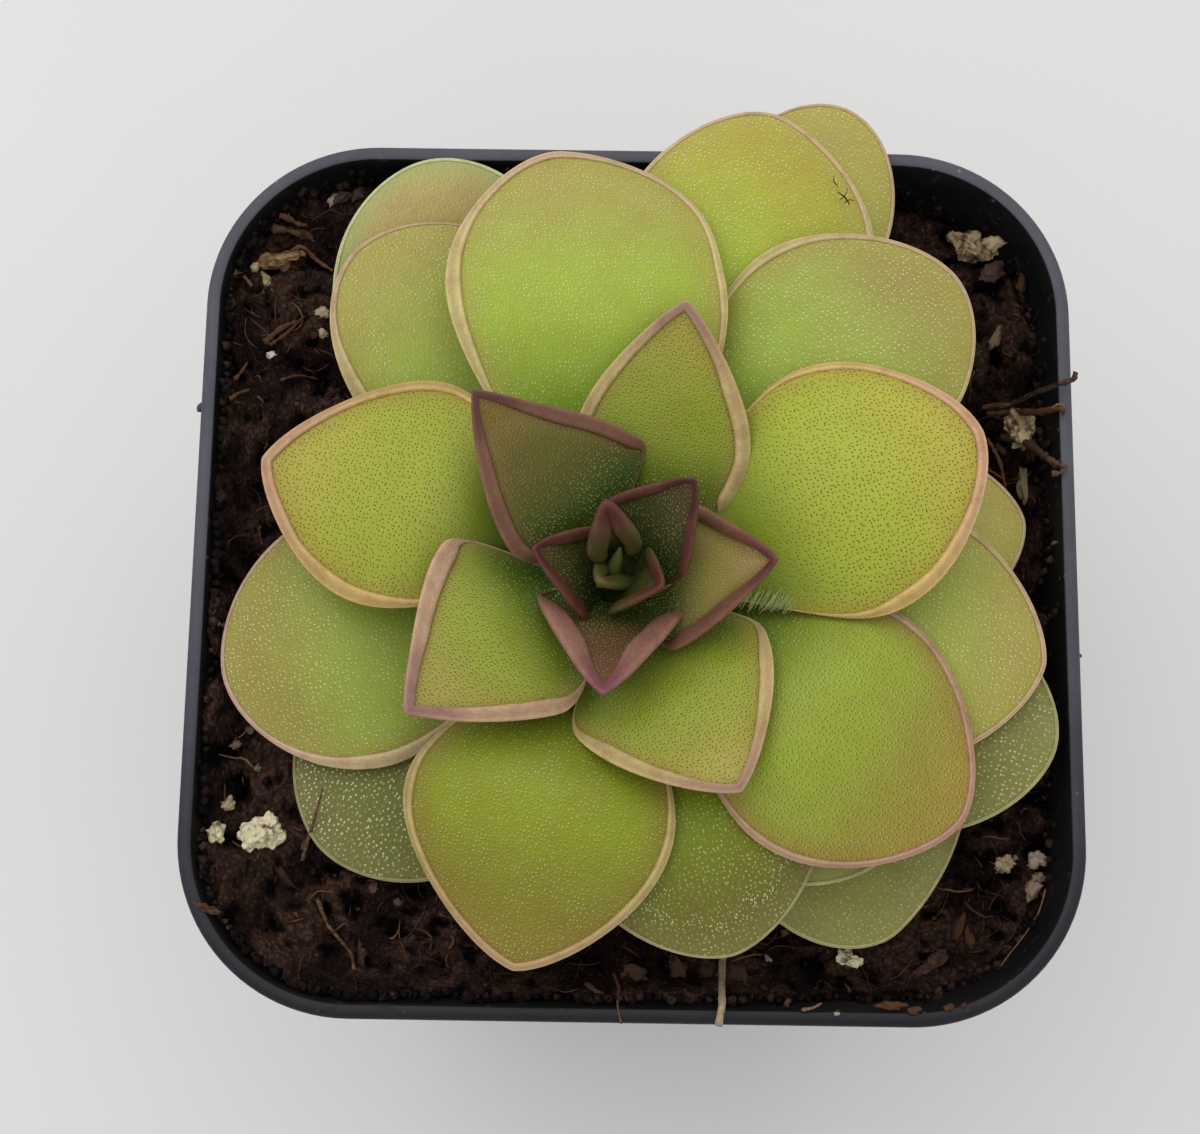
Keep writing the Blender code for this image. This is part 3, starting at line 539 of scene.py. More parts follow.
    def build(self, materials):
        form, plan = self.form, self.plan
        shares, across = self.margin(form["steps"])
        count = len(shares)
        toward = np.stack([(self.spineEnd - 1) * shares * self.length, -across], -1)
        room = np.maximum(np.linalg.norm(toward, axis=-1), form["leastRoom"])
        toward = toward / room[:, None]
        steps = np.hypot(np.diff(shares) * self.length, np.diff(across))
        run = np.concatenate([[0], np.cumsum(steps)])
        outer = 0.5 * self.rollSizes(shares, across, run)
        wall = np.minimum(plan["wall"], form["thickestWall"] * outer)
        middle = outer - solidThickness * math.sin(math.radians(min(plan["curl"], 90)))
        rows = self.rows(outer - wall, middle, room)
        top, flat, tints, pits, dews = [], [], [], [], []
        for inward, height, turn, wayIn in rows:
            onBlade = 1 if wayIn > 0 else 0
            move = np.minimum(inward, room if onBlade else form["rollRoom"] * room)[:, None] * toward
            at = shares + move[:, 0] / self.length
            aside = across + move[:, 1]
            inset = np.maximum(inward - middle, 0) * onBlade
            if onBlade:
                height = form["ripple"] * self.ripples(at, aside) * smoothStep(inset, 0, form["rippleFrom"])
            top.append(self.place(at, aside, height))
            tints.append(self.colors(at, inset, np.full(count, 1.0 - onBlade), np.full(count, turn)))
            flat.append(plan["glands"] * np.stack([at * self.length, aside, 0 * at], -1))
            grown = smoothStep(at, *form["pitsFrom"]) * onBlade
            pits.append(plan["pits"] * grown)
            dews.append(plan["dew"] * (1 - form["dewOffPits"] * grown * plan["pits"]) * onBlade)
        top = np.array(top)
        normals = np.cross(np.gradient(top, axis=1), np.gradient(top, axis=0))
        normals /= np.maximum(np.linalg.norm(normals, axis=-1, keepdims=True), form["tiny"])
        firstOnBlade = form["turnSteps"] + 3
        if normals[firstOnBlade, :, 2].mean() < 0:
            normals = -normals
        grown = [smoothStep(np.full(count, row[3]), 0.0, form["thickFrom"]) for row in rows]
        thick = np.stack([wall + (solidThickness - wall) * share for share in grown])
        bottom = top - normals * thick[..., None]
        lipOut = top[0] - top[1]
        lipOut = lipOut / np.maximum(np.linalg.norm(lipOut, axis=-1, keepdims=True), form["tiny"])
        lip = 0.5 * (top[0] + bottom[0]) + form["lipBulge"] * wall[:, None] * lipOut
        points = np.concatenate([top.reshape(-1, 3), bottom.reshape(-1, 3), lip])
        upper, lower = self.faces(len(rows), count, self.facesDown(top))
        mesh = meshFrom(self.name, points, upper + lower, materials)
        mesh.polygons.foreach_set("material_index", [0] * len(upper) + [1] * len(lower))
        tints, flat = np.array(tints).reshape(-1, 3), np.array(flat).reshape(-1, 3)
        underside = self.underside(shares, rows)
        ring = np.repeat(np.array([row[2] for row in rows]) / form["streakTurn"], count)
        streaks = np.stack([np.tile(run, len(rows)), ring, 0 * ring], -1)
        store(mesh, "tint", "FLOAT_COLOR", np.concatenate([tints, underside, underside[:count]]))
        store(mesh, "skin", "FLOAT_VECTOR", np.concatenate([flat, streaks, streaks[:count]]))
        none = np.zeros(len(underside) + count)
        store(mesh, "pits", "FLOAT", np.concatenate([np.array(pits).ravel(), none]))
        store(mesh, "dew", "FLOAT", np.concatenate([np.array(dews).ravel(), none]))
        return mesh

    def facesDown(self, top):
        row, spot = len(top) - 4, 10        # well on the blade
        a, b, c = top[row, spot], top[row, spot + 1], top[row + 1, spot]
        return np.cross(b - a, c - a)[2] < 0

    def faces(self, rows, count, flip):     # the upper side, then the under side with the lip and the base
        total = rows * count
        quads = [(a, a + 1, a + 1 + count, a + count)
                 for row in range(rows - 1) for a in range(row * count, (row + 1) * count - 1)]
        upper = [quad[::-1] if flip else quad for quad in quads]
        lower = [tuple(total + corner for corner in (quad if flip else quad[::-1])) for quad in quads]
        lip = 2 * total
        for i in range(count - 1):
            over = (lip + i, lip + i + 1, i + 1, i)
            below = (total + i, total + i + 1, lip + i + 1, lip + i)
            lower += [over[::-1], below[::-1]] if flip else [over, below]
        base = [row * count for row in range(rows)]
        base += [row * count + count - 1 for row in reversed(range(rows - 1))]
        for a, b in zip(base, base[1:]):
            quad = (a, b, total + b, total + a)
            lower.append(quad if flip else quad[::-1])
        return upper, lower

    def underside(self, shares, rows):
        form, full = self.form, np.full(len(shares), 1.0)
        colors = []
        for _, _, turn, wayIn in rows:
            onRoll = full * (1 - smoothStep(np.array(wayIn), 0.0, form["undersideRoll"]))
            colors.append(self.colors(shares, full * form["undersideInset"], onRoll, full * turn))
        return np.array(colors).reshape(-1, 3)


bladeLook = {
    "specular": 0.31, "ior": 1.42, "coatRoughness": 0.15, "roughness": 0.46,
    "depth": 0.12, "depthScale": 0.002, "depthRadius": (0.6, 0.8, 0.2),     # light below the skin
    "jitter": 0.7,                                      # of the glands' places
    "pit": (0.25, 0.13), "pitVaries": (0.0, 0.5, 0.5), "pitColor": (0.09, 0.040, 0.006), "pitStrength": 0.85,
    # the beads' pale colour is a painted highlight: the glint of light on the dew
    "bead": (0.22, 0.09), "beadVaries": (0.1, 0.95, 0.25), "beadGlintColor": (0.82, 0.85, 0.45),
    "beadGlintStrength": 0.75,
    "beadSteps": [(0.17, 0.12, 0), (0.27, 0.17, 0)],    # where the beads sit between the pits
    "clumps": (330, 0.35, 0.62, 0.45),                  # per metre, from, to, least
    "patches": (260, 0.35, 0.75), "patchColor": (0.9, 0.68, 0.9), "patchStrength": 0.3,
    "finePerMetre": 1600, "fineColor": (0.55, 0.58, 0.45), "fineStrength": 0.35,
    "beadGloss": 0.2, "beadCoat": 0.8, "beadHigh": 0.8, "pitDeep": 0.3, "fineHigh": 0.12,
    "relief": (0.00008, 0.6),
}


def bladeFinish(look):
    skin = Finish("leafBlade", Specular_IOR_Level=look["specular"], Subsurface_Weight=look["depth"],
                  Subsurface_Scale=look["depthScale"], Subsurface_Radius=look["depthRadius"],
                  IOR=look["ior"], Coat_Roughness=look["coatRoughness"])
    tint, where = skin.stored("tint", "Color"), skin.stored("skin", "Vector")
    pits, dew = skin.stored("pits", "Fac"), skin.stored("dew", "Fac")
    space, jitter = skin.places(), look["jitter"]
    each = skin.node("ShaderNodeSeparateColor", {}, {"Color": skin.cells(where, 1.0, jitter, "Color", True)})
    low, high, least = look["pitVaries"]
    pit = skin.between(skin.cells(where, 1.0, jitter, flat=True), *look["pit"])
    pit = pit * skin.atLeast(skin.between(each, low, high), least) * pits
    near, far = [skin.cells(skin.shifted(where, step), 1.0, jitter, flat=True) for step in look["beadSteps"]]
    low, high, least = look["beadVaries"]
    bead = skin.between(skin.maths("MINIMUM", near, far), *look["bead"])
    bead = bead * skin.atLeast(skin.between(each, low, high), least)
    perMetre, low, high, least = look["clumps"]
    bead = bead * skin.atLeast(skin.between(skin.grain(space, perMetre), low, high), least)
    wet = bead * dew
    perMetre, low, high = look["patches"]
    patches = skin.between(skin.grain(space, perMetre), low, high) * look["patchStrength"]
    fine = skin.grain(space, look["finePerMetre"], 2)
    color = skin.blend(patches, tint, skin.tinted(tint, look["patchColor"]))
    color = skin.blend(fine * look["fineStrength"], color, skin.tinted(color, look["fineColor"]))
    # painted highlight: the dew beads are painted pale for their glint
    color = skin.blend(wet * look["beadGlintStrength"], color, look["beadGlintColor"])
    color = skin.blend(pit * look["pitStrength"], color, look["pitColor"])
    raised = wet * look["beadHigh"] - pit * look["pitDeep"] + fine * look["fineHigh"]
    return skin.feed(Base_Color=color, Roughness=look["roughness"] - bead * look["beadGloss"],
                     Coat_Weight=wet * look["beadCoat"], Normal=skin.relief(raised, *look["relief"]))


marginLook = {
    "specular": 0.3, "ior": 1.42, "roughness": 0.30, "rougher": 0.2,
    "depth": 0.10, "depthScale": 0.0015, "depthRadius": (0.8, 0.5, 0.3),
    "stretch": (1.6, 7.0, 1), "streakDetail": (4, 0.65),
    "streaks": (0.36, 0.68, 0.8), "streakColor": (1.45, 1.42, 1.50),        # from, to, strength
    "cloudsPerMetre": 560, "clouds": (0.42, 0.70, 0.42), "cloudColor": (0.68, 0.56, 0.52),
    "cellsPerMetre": 5200, "cells": (0.36, 0.14, 0.45), "cellColor": (1.45, 1.45, 1.5),
    "streakHigh": 0.7, "cellHigh": 0.5, "relief": (0.00009, 0.7),
}


def marginFinish(look):
    rim = Finish("leafMargin", Specular_IOR_Level=look["specular"], Subsurface_Weight=look["depth"],
                 Subsurface_Scale=look["depthScale"], Subsurface_Radius=look["depthRadius"], IOR=look["ior"])
    tint, where = rim.stored("tint", "Color"), rim.stored("skin", "Vector")
    space = rim.places()
    streaks = rim.grain(rim.stretched(where, look["stretch"]), 1.0, *look["streakDetail"])
    cells = rim.cells(space, look["cellsPerMetre"])
    clouds = rim.grain(space, look["cloudsPerMetre"], 4)
    color = tint
    for mask, layer, shade in ((streaks, "streaks", "streakColor"), (clouds, "clouds", "cloudColor"),
                               (cells, "cells", "cellColor")):
        low, high, strength = look[layer]
        color = rim.blend(rim.between(mask, low, high) * strength, color, rim.tinted(tint, look[shade]))
    raised = streaks * look["streakHigh"] + cells * look["cellHigh"]
    return rim.feed(Base_Color=color, Roughness=look["roughness"] + clouds * look["rougher"],
                    Normal=rim.relief(raised, *look["relief"]))


blades = {}
youngOnes = ("leaf_inner", "leaf_young", "leaf_mid_back_left")
leafMaterials = [bladeFinish(bladeLook), marginFinish(marginLook)]
for name, plan in leaves.items():
    blade = Blade(name, plan, rolledMargin)
    blade.layOn(searchTree(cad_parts[name].data))
    slot = "young_leaf" if name.startswith(youngOnes) else "leaf"
    keepPiece(name + "_fine", blade.build(leafMaterials), slot, name)
    blades[name] = blade
print("leaves laid:", len(blades))


class Heap:     # many small bodies in one mesh
    def __init__(self):
        self.points = []
        self.faces = []
        self.tints = []

    def add(self, points, faces, tint):
        first = len(self.points)
        self.points += [tuple(point) for point in points]
        self.faces += [tuple(first + corner for corner in face) for face in faces]
        self.tints += [tint] * len(points)

    def mesh(self, name, material):
        mesh = meshFrom(name, self.points, self.faces, [material])
        store(mesh, "tint", "FLOAT_COLOR", self.tints)
        return mesh


def tube(route, radii, sides):
    route = [Vector(spot) for spot in route]
    points, faces = [], []
    for i, spot in enumerate(route):
        ahead = route[min(i + 1, len(route) - 1)] - route[max(i - 1, 0)]
        aim = ahead.to_track_quat("Z", "Y")
        for k in range(sides):
            angle = math.tau * k / sides
            points.append(spot + aim @ Vector((radii[i] * math.cos(angle), radii[i] * math.sin(angle), 0)))
    for i in range(len(route) - 1):
        for k in range(sides):
            a, b = i * sides + k, i * sides + (k + 1) % sides
            faces.append((a, b, b + sides, a + sides))
    last = (len(route) - 1) * sides
    faces += [tuple(reversed(range(sides))), tuple(range(last, last + sides))]
    return points, faces


def eased(route, steps):        # a smooth line through the spots of a route
    route = np.array(route, float)
    ends = np.concatenate([[2 * route[0] - route[1]], route, [2 * route[-1] - route[-2]]])
    line = []
    for i in range(1, len(ends) - 2):
        a, b, c, d = ends[i - 1:i + 3]
        for t in np.arange(steps) / steps:
            line.append(0.5 * (2 * b + (c - a) * t + (2 * a - 5 * b + 4 * c - d) * t * t
                               + (3 * b - a - 3 * c + d) * t ** 3))
    return line + [ends[-2]]


# The pot: half side and height up the outside, then down the inside with the wall's thickness
pot = {
    "cornerShare": 0.39, "cornerSteps": 24, "sideSteps": 6,
    "outside": [(28.0, 0.0), (28.7, 0.4), (29.0, 1.2), (33.2, 31.0), (37.4, 61.0), (38.0, 61.5),
                (38.85, 61.9), (39.0, 62.4), (39.4, 73.3), (39.55, 73.7), (39.9, 73.95), (40.0, 74.2),
                (40.0, 74.6), (39.92, 74.85), (39.7, 75.0)],
    "inside": [(40.0, 75.0, 1.15), (39.95, 74.92, 1.2), (39.85, 74.5, 1.2), (39.4, 72.0, 1.2),
               (39.0, 62.2, 1.2), (37.4, 60.6, 1.2), (29.22, 1.6, 1.2)],
    "drainRadius": 3.0, "drainOffset": 17.0, "drainSteps": 28,
    "tolerance": 1e-6, "weld": 1e-7,
}


def roundedSquare(half, inset, cornerSteps, sideSteps):
    radius = half * pot["cornerShare"] - inset
    centre = half - inset - radius
    spots = []
    for corner in range(4):
        turn = Matrix.Rotation(math.pi / 2 * corner, 2)
        arc = [turn @ Vector((centre + radius * math.cos(a), centre + radius * math.sin(a)))
               for a in np.linspace(0, math.pi / 2, cornerSteps + 1)]
        end = turn @ Vector((-centre, centre + radius))
        spots += arc + [arc[-1].lerp(end, k / sideSteps) for k in range(1, sideSteps)]
    return spots


def ringFaces(rings, count, first=0):
    return [(first + r * count + i, first + r * count + (i + 1) % count,
             first + (r + 1) * count + (i + 1) % count, first + (r + 1) * count + i)
            for r in range(rings - 1) for i in range(count)]


def perforated(rim, holes):     # a flat face with holes, as triangles
    spots, edges = [], []
    for loop in [rim] + holes:
        first = len(spots)
        spots += loop
        edges += [(first + i, first + (i + 1) % len(loop)) for i in range(len(loop))]
    found = geometry.delaunay_2d_cdt(spots, edges, [], 2, pot["tolerance"])
    return found[0], found[2]


def buildPot(form, materials):
    rings = [(half, z, 0.0) for half, z in form["outside"]] + form["inside"]
    outlines = [roundedSquare(half, inset, form["cornerSteps"], form["sideSteps"])
                for half, z, inset in rings]
    points = [(*spot, ring[1]) for ring, outline in zip(rings, outlines) for spot in outline]
    count = len(outlines[0])
    faces = ringFaces(len(rings), count)
    circle = [Vector((form["drainRadius"] * math.cos(a), form["drainRadius"] * math.sin(a)))
              for a in np.arange(form["drainSteps"]) / form["drainSteps"] * math.tau]
    offset = form["drainOffset"]
    centres = [Vector((x, y)) for x in (-offset, offset) for y in (-offset, offset)]
    holes = [[centre + spot for spot in circle] for centre in centres]
    for outline, z, down in ((outlines[0], rings[0][1], True), (outlines[-1], rings[-1][1], False)):
        spots, triangles = perforated(outline, holes)
        first = len(points)
        points += [(*spot, z) for spot in spots]
        for triangle in triangles:
            a, b, c = [spots[i] for i in triangle]
            upward = (b - a).cross(c - a) > 0
            order = triangle if upward != down else triangle[::-1]
            faces.append(tuple(first + i for i in order))
    for hole in holes:
        first = len(points)
        points += [(*spot, z) for z in (rings[0][1], rings[-1][1]) for spot in hole]
        faces += [face[::-1] for face in ringFaces(2, len(hole), first)]
    mesh = meshFrom("pot_fine", points, faces, materials)
    walls = len(form["outside"]) * count
    inside = range(walls + count, walls + (len(form["inside"]) - 1) * count)
    # faces inside the pot take the second finish, the plastic painted darker as painted shade
    for face in mesh.polygons:
        face.material_index = int(min(face.vertices) in inside)
    joined = bmesh.new()
    joined.from_mesh(mesh)
    bmesh.ops.remove_doubles(joined, verts=joined.verts, dist=form["weld"])
    joined.to_mesh(mesh)
    joined.free()
    return mesh


potLooks = {
    # the rim's front and back factors are painted shade and painted light; below the rim the walls take the
    # sides factor
    "potPlastic": {"dark": (0.034, 0.034, 0.040), "light": (0.048, 0.048, 0.055), "roughness": 0.34,
                   "rimFrontShade": (0.14, 0.145, 0.20), "rimBackLight": (1.95, 1.95, 2.1)},
    # the inside is the same plastic as the outside, painted near black as painted shade inside the pot
    "potInsideShaded": {"dark": (0.003, 0.003, 0.004), "light": (0.006, 0.006, 0.008), "roughness": 0.6,
                  "rimFrontShade": (1, 1, 1), "rimBackLight": (1, 1, 1)},
}
potWear = {
    "specular": 0.3, "cloudsPerMetre": 90, "clouds": (0.35, 0.7), "cloudRough": 0.16,
    "finePerMetre": 2400, "fineHigh": 0.5, "scuffs": (300, 300, 2600), "scuffHigh": 0.3,
    "dustPerMetre": 700, "dust": (0.60, 0.72), "dustColor": (0.085, 0.075, 0.070), "dustStrength": 0.30,
    "dustRough": 0.2,
    "specksPerMetre": 520, "specks": (0.13, 0.06), "speckColor": (0.20, 0.15, 0.11), "speckStrength": 0.5,
    "sides": (0.62, 0.62, 0.64), "rimFrom": (0.0725, 0.0745), "shadeFrontToBack": (-0.045, 0.010),    # metres
    "relief": (0.00006, 0.5),
}


def potFinish(name, look, wear):
    plastic = Finish(name, Specular_IOR_Level=wear["specular"])
    where = plastic.places()
    clouds = plastic.grain(where, wear["cloudsPerMetre"], 4)
    fine = plastic.grain(where, wear["finePerMetre"])
    scuffs = plastic.grain(plastic.stretched(where, wear["scuffs"]), 1.0)
    color = plastic.blend(plastic.between(clouds, *wear["clouds"]), look["dark"], look["light"])
    dust = plastic.between(plastic.grain(where, wear["dustPerMetre"], 4), *wear["dust"])
    color = plastic.blend(dust * wear["dustStrength"], color, wear["dustColor"])
    specks = plastic.between(plastic.cells(where, wear["specksPerMetre"], 1.0), *wear["specks"])
    color = plastic.blend(specks * wear["speckStrength"], color, wear["speckColor"])
    depth, level = [plastic.node("ShaderNodeSeparateXYZ", {}, {"Vector": where}, axis) for axis in "YZ"]
    rim = plastic.blend(plastic.between(depth, *wear["shadeFrontToBack"]),       # painted shade and light: the rim is darker at the front and lighter at the back, for the light falling from behind
                        plastic.tinted(color, look["rimFrontShade"]), plastic.tinted(color, look["rimBackLight"]))
    sides = plastic.tinted(color, wear["sides"])
    color = plastic.blend(plastic.between(level, *wear["rimFrom"]), sides, rim)
    roughness = look["roughness"] + clouds * wear["cloudRough"] + dust * wear["dustRough"]
    raised = fine * wear["fineHigh"] + scuffs * wear["scuffHigh"] + specks
    return plastic.feed(Base_Color=color, Roughness=roughness,
                        Normal=plastic.relief(raised, *wear["relief"]))


potFinishes = [potFinish(name, look, potWear) for name, look in potLooks.items()]
keepPiece("pot_fine", buildPot(pot, potFinishes), "pot_plastic", "pot")
print("pot built")


# The potting mix
mix = {
    "level": 68.0, "slope": -0.065, "fullTo": 73.9, "hole": 3.9,
    "clodSize": 5.5, "clodHeight": 1.5, "clodSeed": 3.1, "clodFade": (6, 5),
    "clodNoise": (1.0, 2.2, 2),         # smoothness, how much finer each layer is, layers
    "layers": [(2.6, 2.2), (1.2, 1.2), (0.6, 0.6)],     # size and height of finer and finer lumps
    "layerApart": 10, "lumpShare": 0.35, "lumpFade": 40,
    "banks": [(-38, 8, 26, 3.4), (-30, -36, 14, 2.4), (38, 12, 15, 4.6), (38, -14, 14, 3.4),
              (2, -38, 24, 4.8), (-38, -16, 7, 2.0)],   # place, width and height against the wall
    "bankFade": (0.2, 2.2), "bankPatches": 2.5, "bankSeed": 7,
    "edgeHalf": 39.45, "edgeInset": 1.4, "cornerSteps": 34, "sideSteps": 54,
    "wallLevels": [62.2, 72.0, 74.5], "wallHalves": [37.74, 38.14, 38.59], "pushOut": 12,
    "rings": 92, "ringCrowding": 0.62,
    "sides": [(39.0, 62.2), (37.4, 60.4), (29.22, 1.9)],
}


def wallRoom(x, y):     # how far a spot is from the wall of the pot
    half = mix["edgeHalf"] - mix["edgeInset"]
    radius = mix["edgeHalf"] * pot["cornerShare"] - mix["edgeInset"]
    beyond = math.hypot(max(abs(x) - half + radius, 0), max(abs(y) - half + radius, 0))
    return min(half - max(abs(x), abs(y)), radius - beyond)


def mixHeight(form, x, y, share):       # level of the mix, and how far its fine lumps stand up there
    where = Vector((x / form["clodSize"], y / form["clodSize"], form["clodSeed"]))
    clods = noise.fractal(where, *form["clodNoise"])
    outer, inner = form["clodFade"]
    calm = min(1.0, (1 - share) * outer) * min(1.0, share * inner)
    height = form["level"] + form["slope"] * x + form["clodHeight"] * clods * calm
    lumps = 0
    for size, high in form["layers"]:
        where = Vector((x / size, y / size, form["layerApart"] * size))
        lumps += high * (form["lumpShare"] - abs(noise.noise(where)))
    bank = 0
    for a, b, wide, high in form["banks"]:
        bank += high * math.exp(-((x - a) ** 2 + (y - b) ** 2) / wide ** 2)
    patchy = 1 + noise.noise(Vector((x / form["bankPatches"], y / form["bankPatches"], form["bankSeed"])))
    bank *= (1 - float(smoothStep(wallRoom(x, y), *form["bankFade"]))) * patchy
    calm = min(1.0, (1 - share) * form["lumpFade"])
    return min(height + bank, form["fullTo"]) + lumps * calm, lumps


def mixOutline(form, half):
    return roundedSquare(half, form["edgeInset"], form["cornerSteps"], form["sideSteps"])


def buildMix(form, material):
    edge = mixOutline(form, form["edgeHalf"])
    points, lumps = [], []
    for ring in range(form["rings"] + 1):
        share = (ring / form["rings"]) ** form["ringCrowding"]
        for spot in edge:
            away = spot - Vector(crownAxis)
            start = Vector(crownAxis) + away.normalized() * form["hole"]
            x, y = start.lerp(spot, share)
            height, lump = mixHeight(form, x, y, share)
            against = np.interp(height, form["wallLevels"], form["wallHalves"])
            against /= form["edgeHalf"] - form["edgeInset"]
            reach = 1 + (against - 1) * share ** form["pushOut"]        # the last ring lies against the wall
            points.append((x * reach, y * reach, height))
            lumps.append(lump)
    for half, z in form["sides"]:
        points += [(*spot, z) for spot in mixOutline(form, half)]
    lumps += [0.0] * (len(points) - len(lumps))
    count = len(edge)
    rings = form["rings"] + 1 + len(form["sides"])
    last = (rings - 1) * count
    faces = [face[::-1] for face in ringFaces(rings, count)] + [tuple(range(last, last + count))[::-1]]
    mesh = meshFrom("soil_fine", points, [face[::-1] for face in faces], [material])
    store(mesh, "lump", "FLOAT", lumps)
    return mesh


# painted shade: darker patches over the mix and its crumbs, for the shaded dips
hollowShade = {"perMetre": 170, "dry": (0.40, 0.60), "color": (0.24, 0.23, 0.29)}
mixLook = {
    "specular": 0.08, "roughness": 0.6, "rougher": 0.4,
    "clods": (420, 4, 0.6), "fine": (3000, 4, 0.7),         # per metre, detail, roughness
    # the lumps' height sets a painted shade: dark low down between them, light on the tops
    "clodWeight": 1.6, "high": (-0.10, 0.70),
    "dark": (0.002, 0.0015, 0.0017), "light": (0.096, 0.053, 0.036),
    "crumbsPerMetre": 1900, "crumbGaps": (0.25, 0.6), "crumbGapShadeColor": (0.25, 0.22, 0.22),
    "crumbGapShadeStrength": 0.7,
    "threadStretch": (2100, 500, 2100), "threads": (0.26, 0.08), "threadBreaks": (0.45, 0.6),
    "threadColor": (0.15, 0.075, 0.04), "threadStrength": 0.8,
    "fineHigh": 0.8, "crumbDeep": 0.6, "relief": (0.0006, 0.9),
}


def paintedHollowShade(finish, where, color, strength):       # painted shade: darker patches of noise stand for shaded dips in the mix
    dry = finish.between(finish.grain(where, hollowShade["perMetre"], 2), *hollowShade["dry"])
    return finish.blend(finish.atLeast(dry, 1 - strength), finish.tinted(color, hollowShade["color"]), color)


def mixFinish(look):
    peat = Finish("pottingMix", Specular_IOR_Level=look["specular"])
    where, lump = peat.places(), peat.stored("lump", "Fac")
    clods, fine = [peat.grain(where, *look[layer]) for layer in ("clods", "fine")]
    crumb = peat.cells(where, look["crumbsPerMetre"], 1.0)
    stretched = peat.stretched(where, look["threadStretch"])
    threads = peat.between(peat.cells(stretched, 1.0, 1.0), *look["threads"])
    # painted shade: the low parts between lumps and clods are painted dark, the tops light
    high = peat.between(lump + (clods - 0.5) * look["clodWeight"], *look["high"])
    color = paintedHollowShade(peat, where, peat.blend(high, look["dark"], look["light"]), 1.0)
    # painted shade: the gaps between the crumbs are painted darker
    gapShade = peat.between(crumb, *look["crumbGaps"]) * look["crumbGapShadeStrength"]
    color = peat.blend(gapShade, color, peat.tinted(color, look["crumbGapShadeColor"]))
    threads = threads * peat.between(fine, *look["threadBreaks"]) * high * look["threadStrength"]
    color = peat.blend(threads, color, look["threadColor"])
    raised = fine * look["fineHigh"] - crumb * look["crumbDeep"]
    return peat.feed(Base_Color=color, Roughness=look["roughness"] + fine * look["rougher"],
                     Normal=peat.relief(raised, *look["relief"]))


grainLooks = {      # darkest and lightest factor on the bodies' own tints, spots per metre, and how much painted hollow shade they take
    "crumb": {"dark": (0.6, 0.6, 0.6), "light": (1.4, 1.4, 1.4), "roughness": 0.6, "perMetre": 2500,
              "hollowShadeStrength": 1.0},
    "fibre": {"dark": (0.5, 0.5, 0.5), "light": (1.5, 1.5, 1.5), "roughness": 0.55, "perMetre": 1800},
    "looseBit": {"dark": (0.55, 0.5, 0.48), "light": (1.25, 1.25, 1.2), "roughness": 0.65, "perMetre": 1100},
    "newestLeaf": {"dark": (0.045, 0.065, 0.010), "light": (0.105, 0.125, 0.030), "roughness": 0.4,
                   "perMetre": 900},
    "insectShell": {"dark": (0.006, 0.004, 0.003), "light": (0.03, 0.02, 0.012), "roughness": 0.3,
                    "perMetre": 2500},
    "detail": (4, 0.65), "specular": 0.12, "rougher": 0.2, "relief": (0.0002, 0.8),
}


def grainFinish(name, looks):
    look = looks[name]
    rough = Finish(name, Specular_IOR_Level=looks["specular"])
    where = rough.places()
    clouds = rough.grain(where, look["perMetre"], *looks["detail"])
    tint = rough.stored("tint", "Color")
    color = rough.blend(clouds, rough.tinted(tint, look["dark"]), rough.tinted(tint, look["light"]))
    # painted hollow shade on the bodies
    color = paintedHollowShade(rough, where, color, look.get("hollowShadeStrength", 0.0))
    return rough.feed(Base_Color=color, Roughness=look["roughness"] + clouds * looks["rougher"],
                      Normal=rough.relief(clouds, *looks["relief"]))


mixMesh = buildMix(mix, mixFinish(mixLook))
keepPiece("soil_fine", mixMesh, "potting_mix", "soil")
mixTree = searchTree(mixMesh)
print("potting mix laid")

litter = {
    "seed": 11, "reach": 37.6,      # half side of the square that it is scattered over
    "grainKinds": 9, "grainUneven": 1.7, "grainDetail": 1, "chipDetail": 2, "bitDetail": 3,
    "crumbs": 6600, "crumbSize": (0.12, 0.62, 3), "crumbShape": (0.6, 1.3), "crumbShade": (0.6, 1.4),
    "crumbRise": 0.1,
    "fibres": 1700, "fibreLength": (0.8, 4.2, 2), "fibreRadius": (0.035, 0.145, 3), "fibreShade": (0.6, 1.3),
    "fibreHump": (0.0, 0.5), "fibreRise": 0.1, "fibreBend": 0.22, "fibreWander": 0.2, "fibreRoom": 0.3,
    "fibreProfile": (0.5, 0.9, 1, 1, 0.9, 0.7, 0.3), "fibreSides": 4,
    "chips": 40, "chipLength": (1.0, 3.2), "chipWidth": (0.4, 1.1), "chipHeight": 0.45, "chipUneven": 1.1,
    "chipShade": (0.5, 1.3), "chipRise": 0.12, "chipRoom": 0.6,
    "clinging": 1300, "clingingSize": (0.2, 0.85), "clingingShade": (0.3, 1.0), "clingingAt": 0.998,
    "clingingShare": 0.99, "clingingTop": 74.5, "climb": (0.8, 1.8),    # at the front and right, elsewhere
    "strandSteps": 7, "strandSides": 7, "strandUneven": 0.25, "strandLeast": 0.06,
    "bitUneven": 0.8, "bitRise": 0.35,
    "crumbTints": [(0.022, 0.012, 0.009), (0.050, 0.027, 0.018), (0.008, 0.005, 0.005),
                   (0.080, 0.042, 0.027)],
    "fibreTints": [(0.060, 0.028, 0.015), (0.115, 0.052, 0.025), (0.030, 0.016, 0.011),
                   (0.19, 0.095, 0.042)],
    "chipTints": [(0.060, 0.030, 0.018), (0.035, 0.020, 0.014), (0.10, 0.048, 0.026), (0.024, 0.015, 0.012)],
}
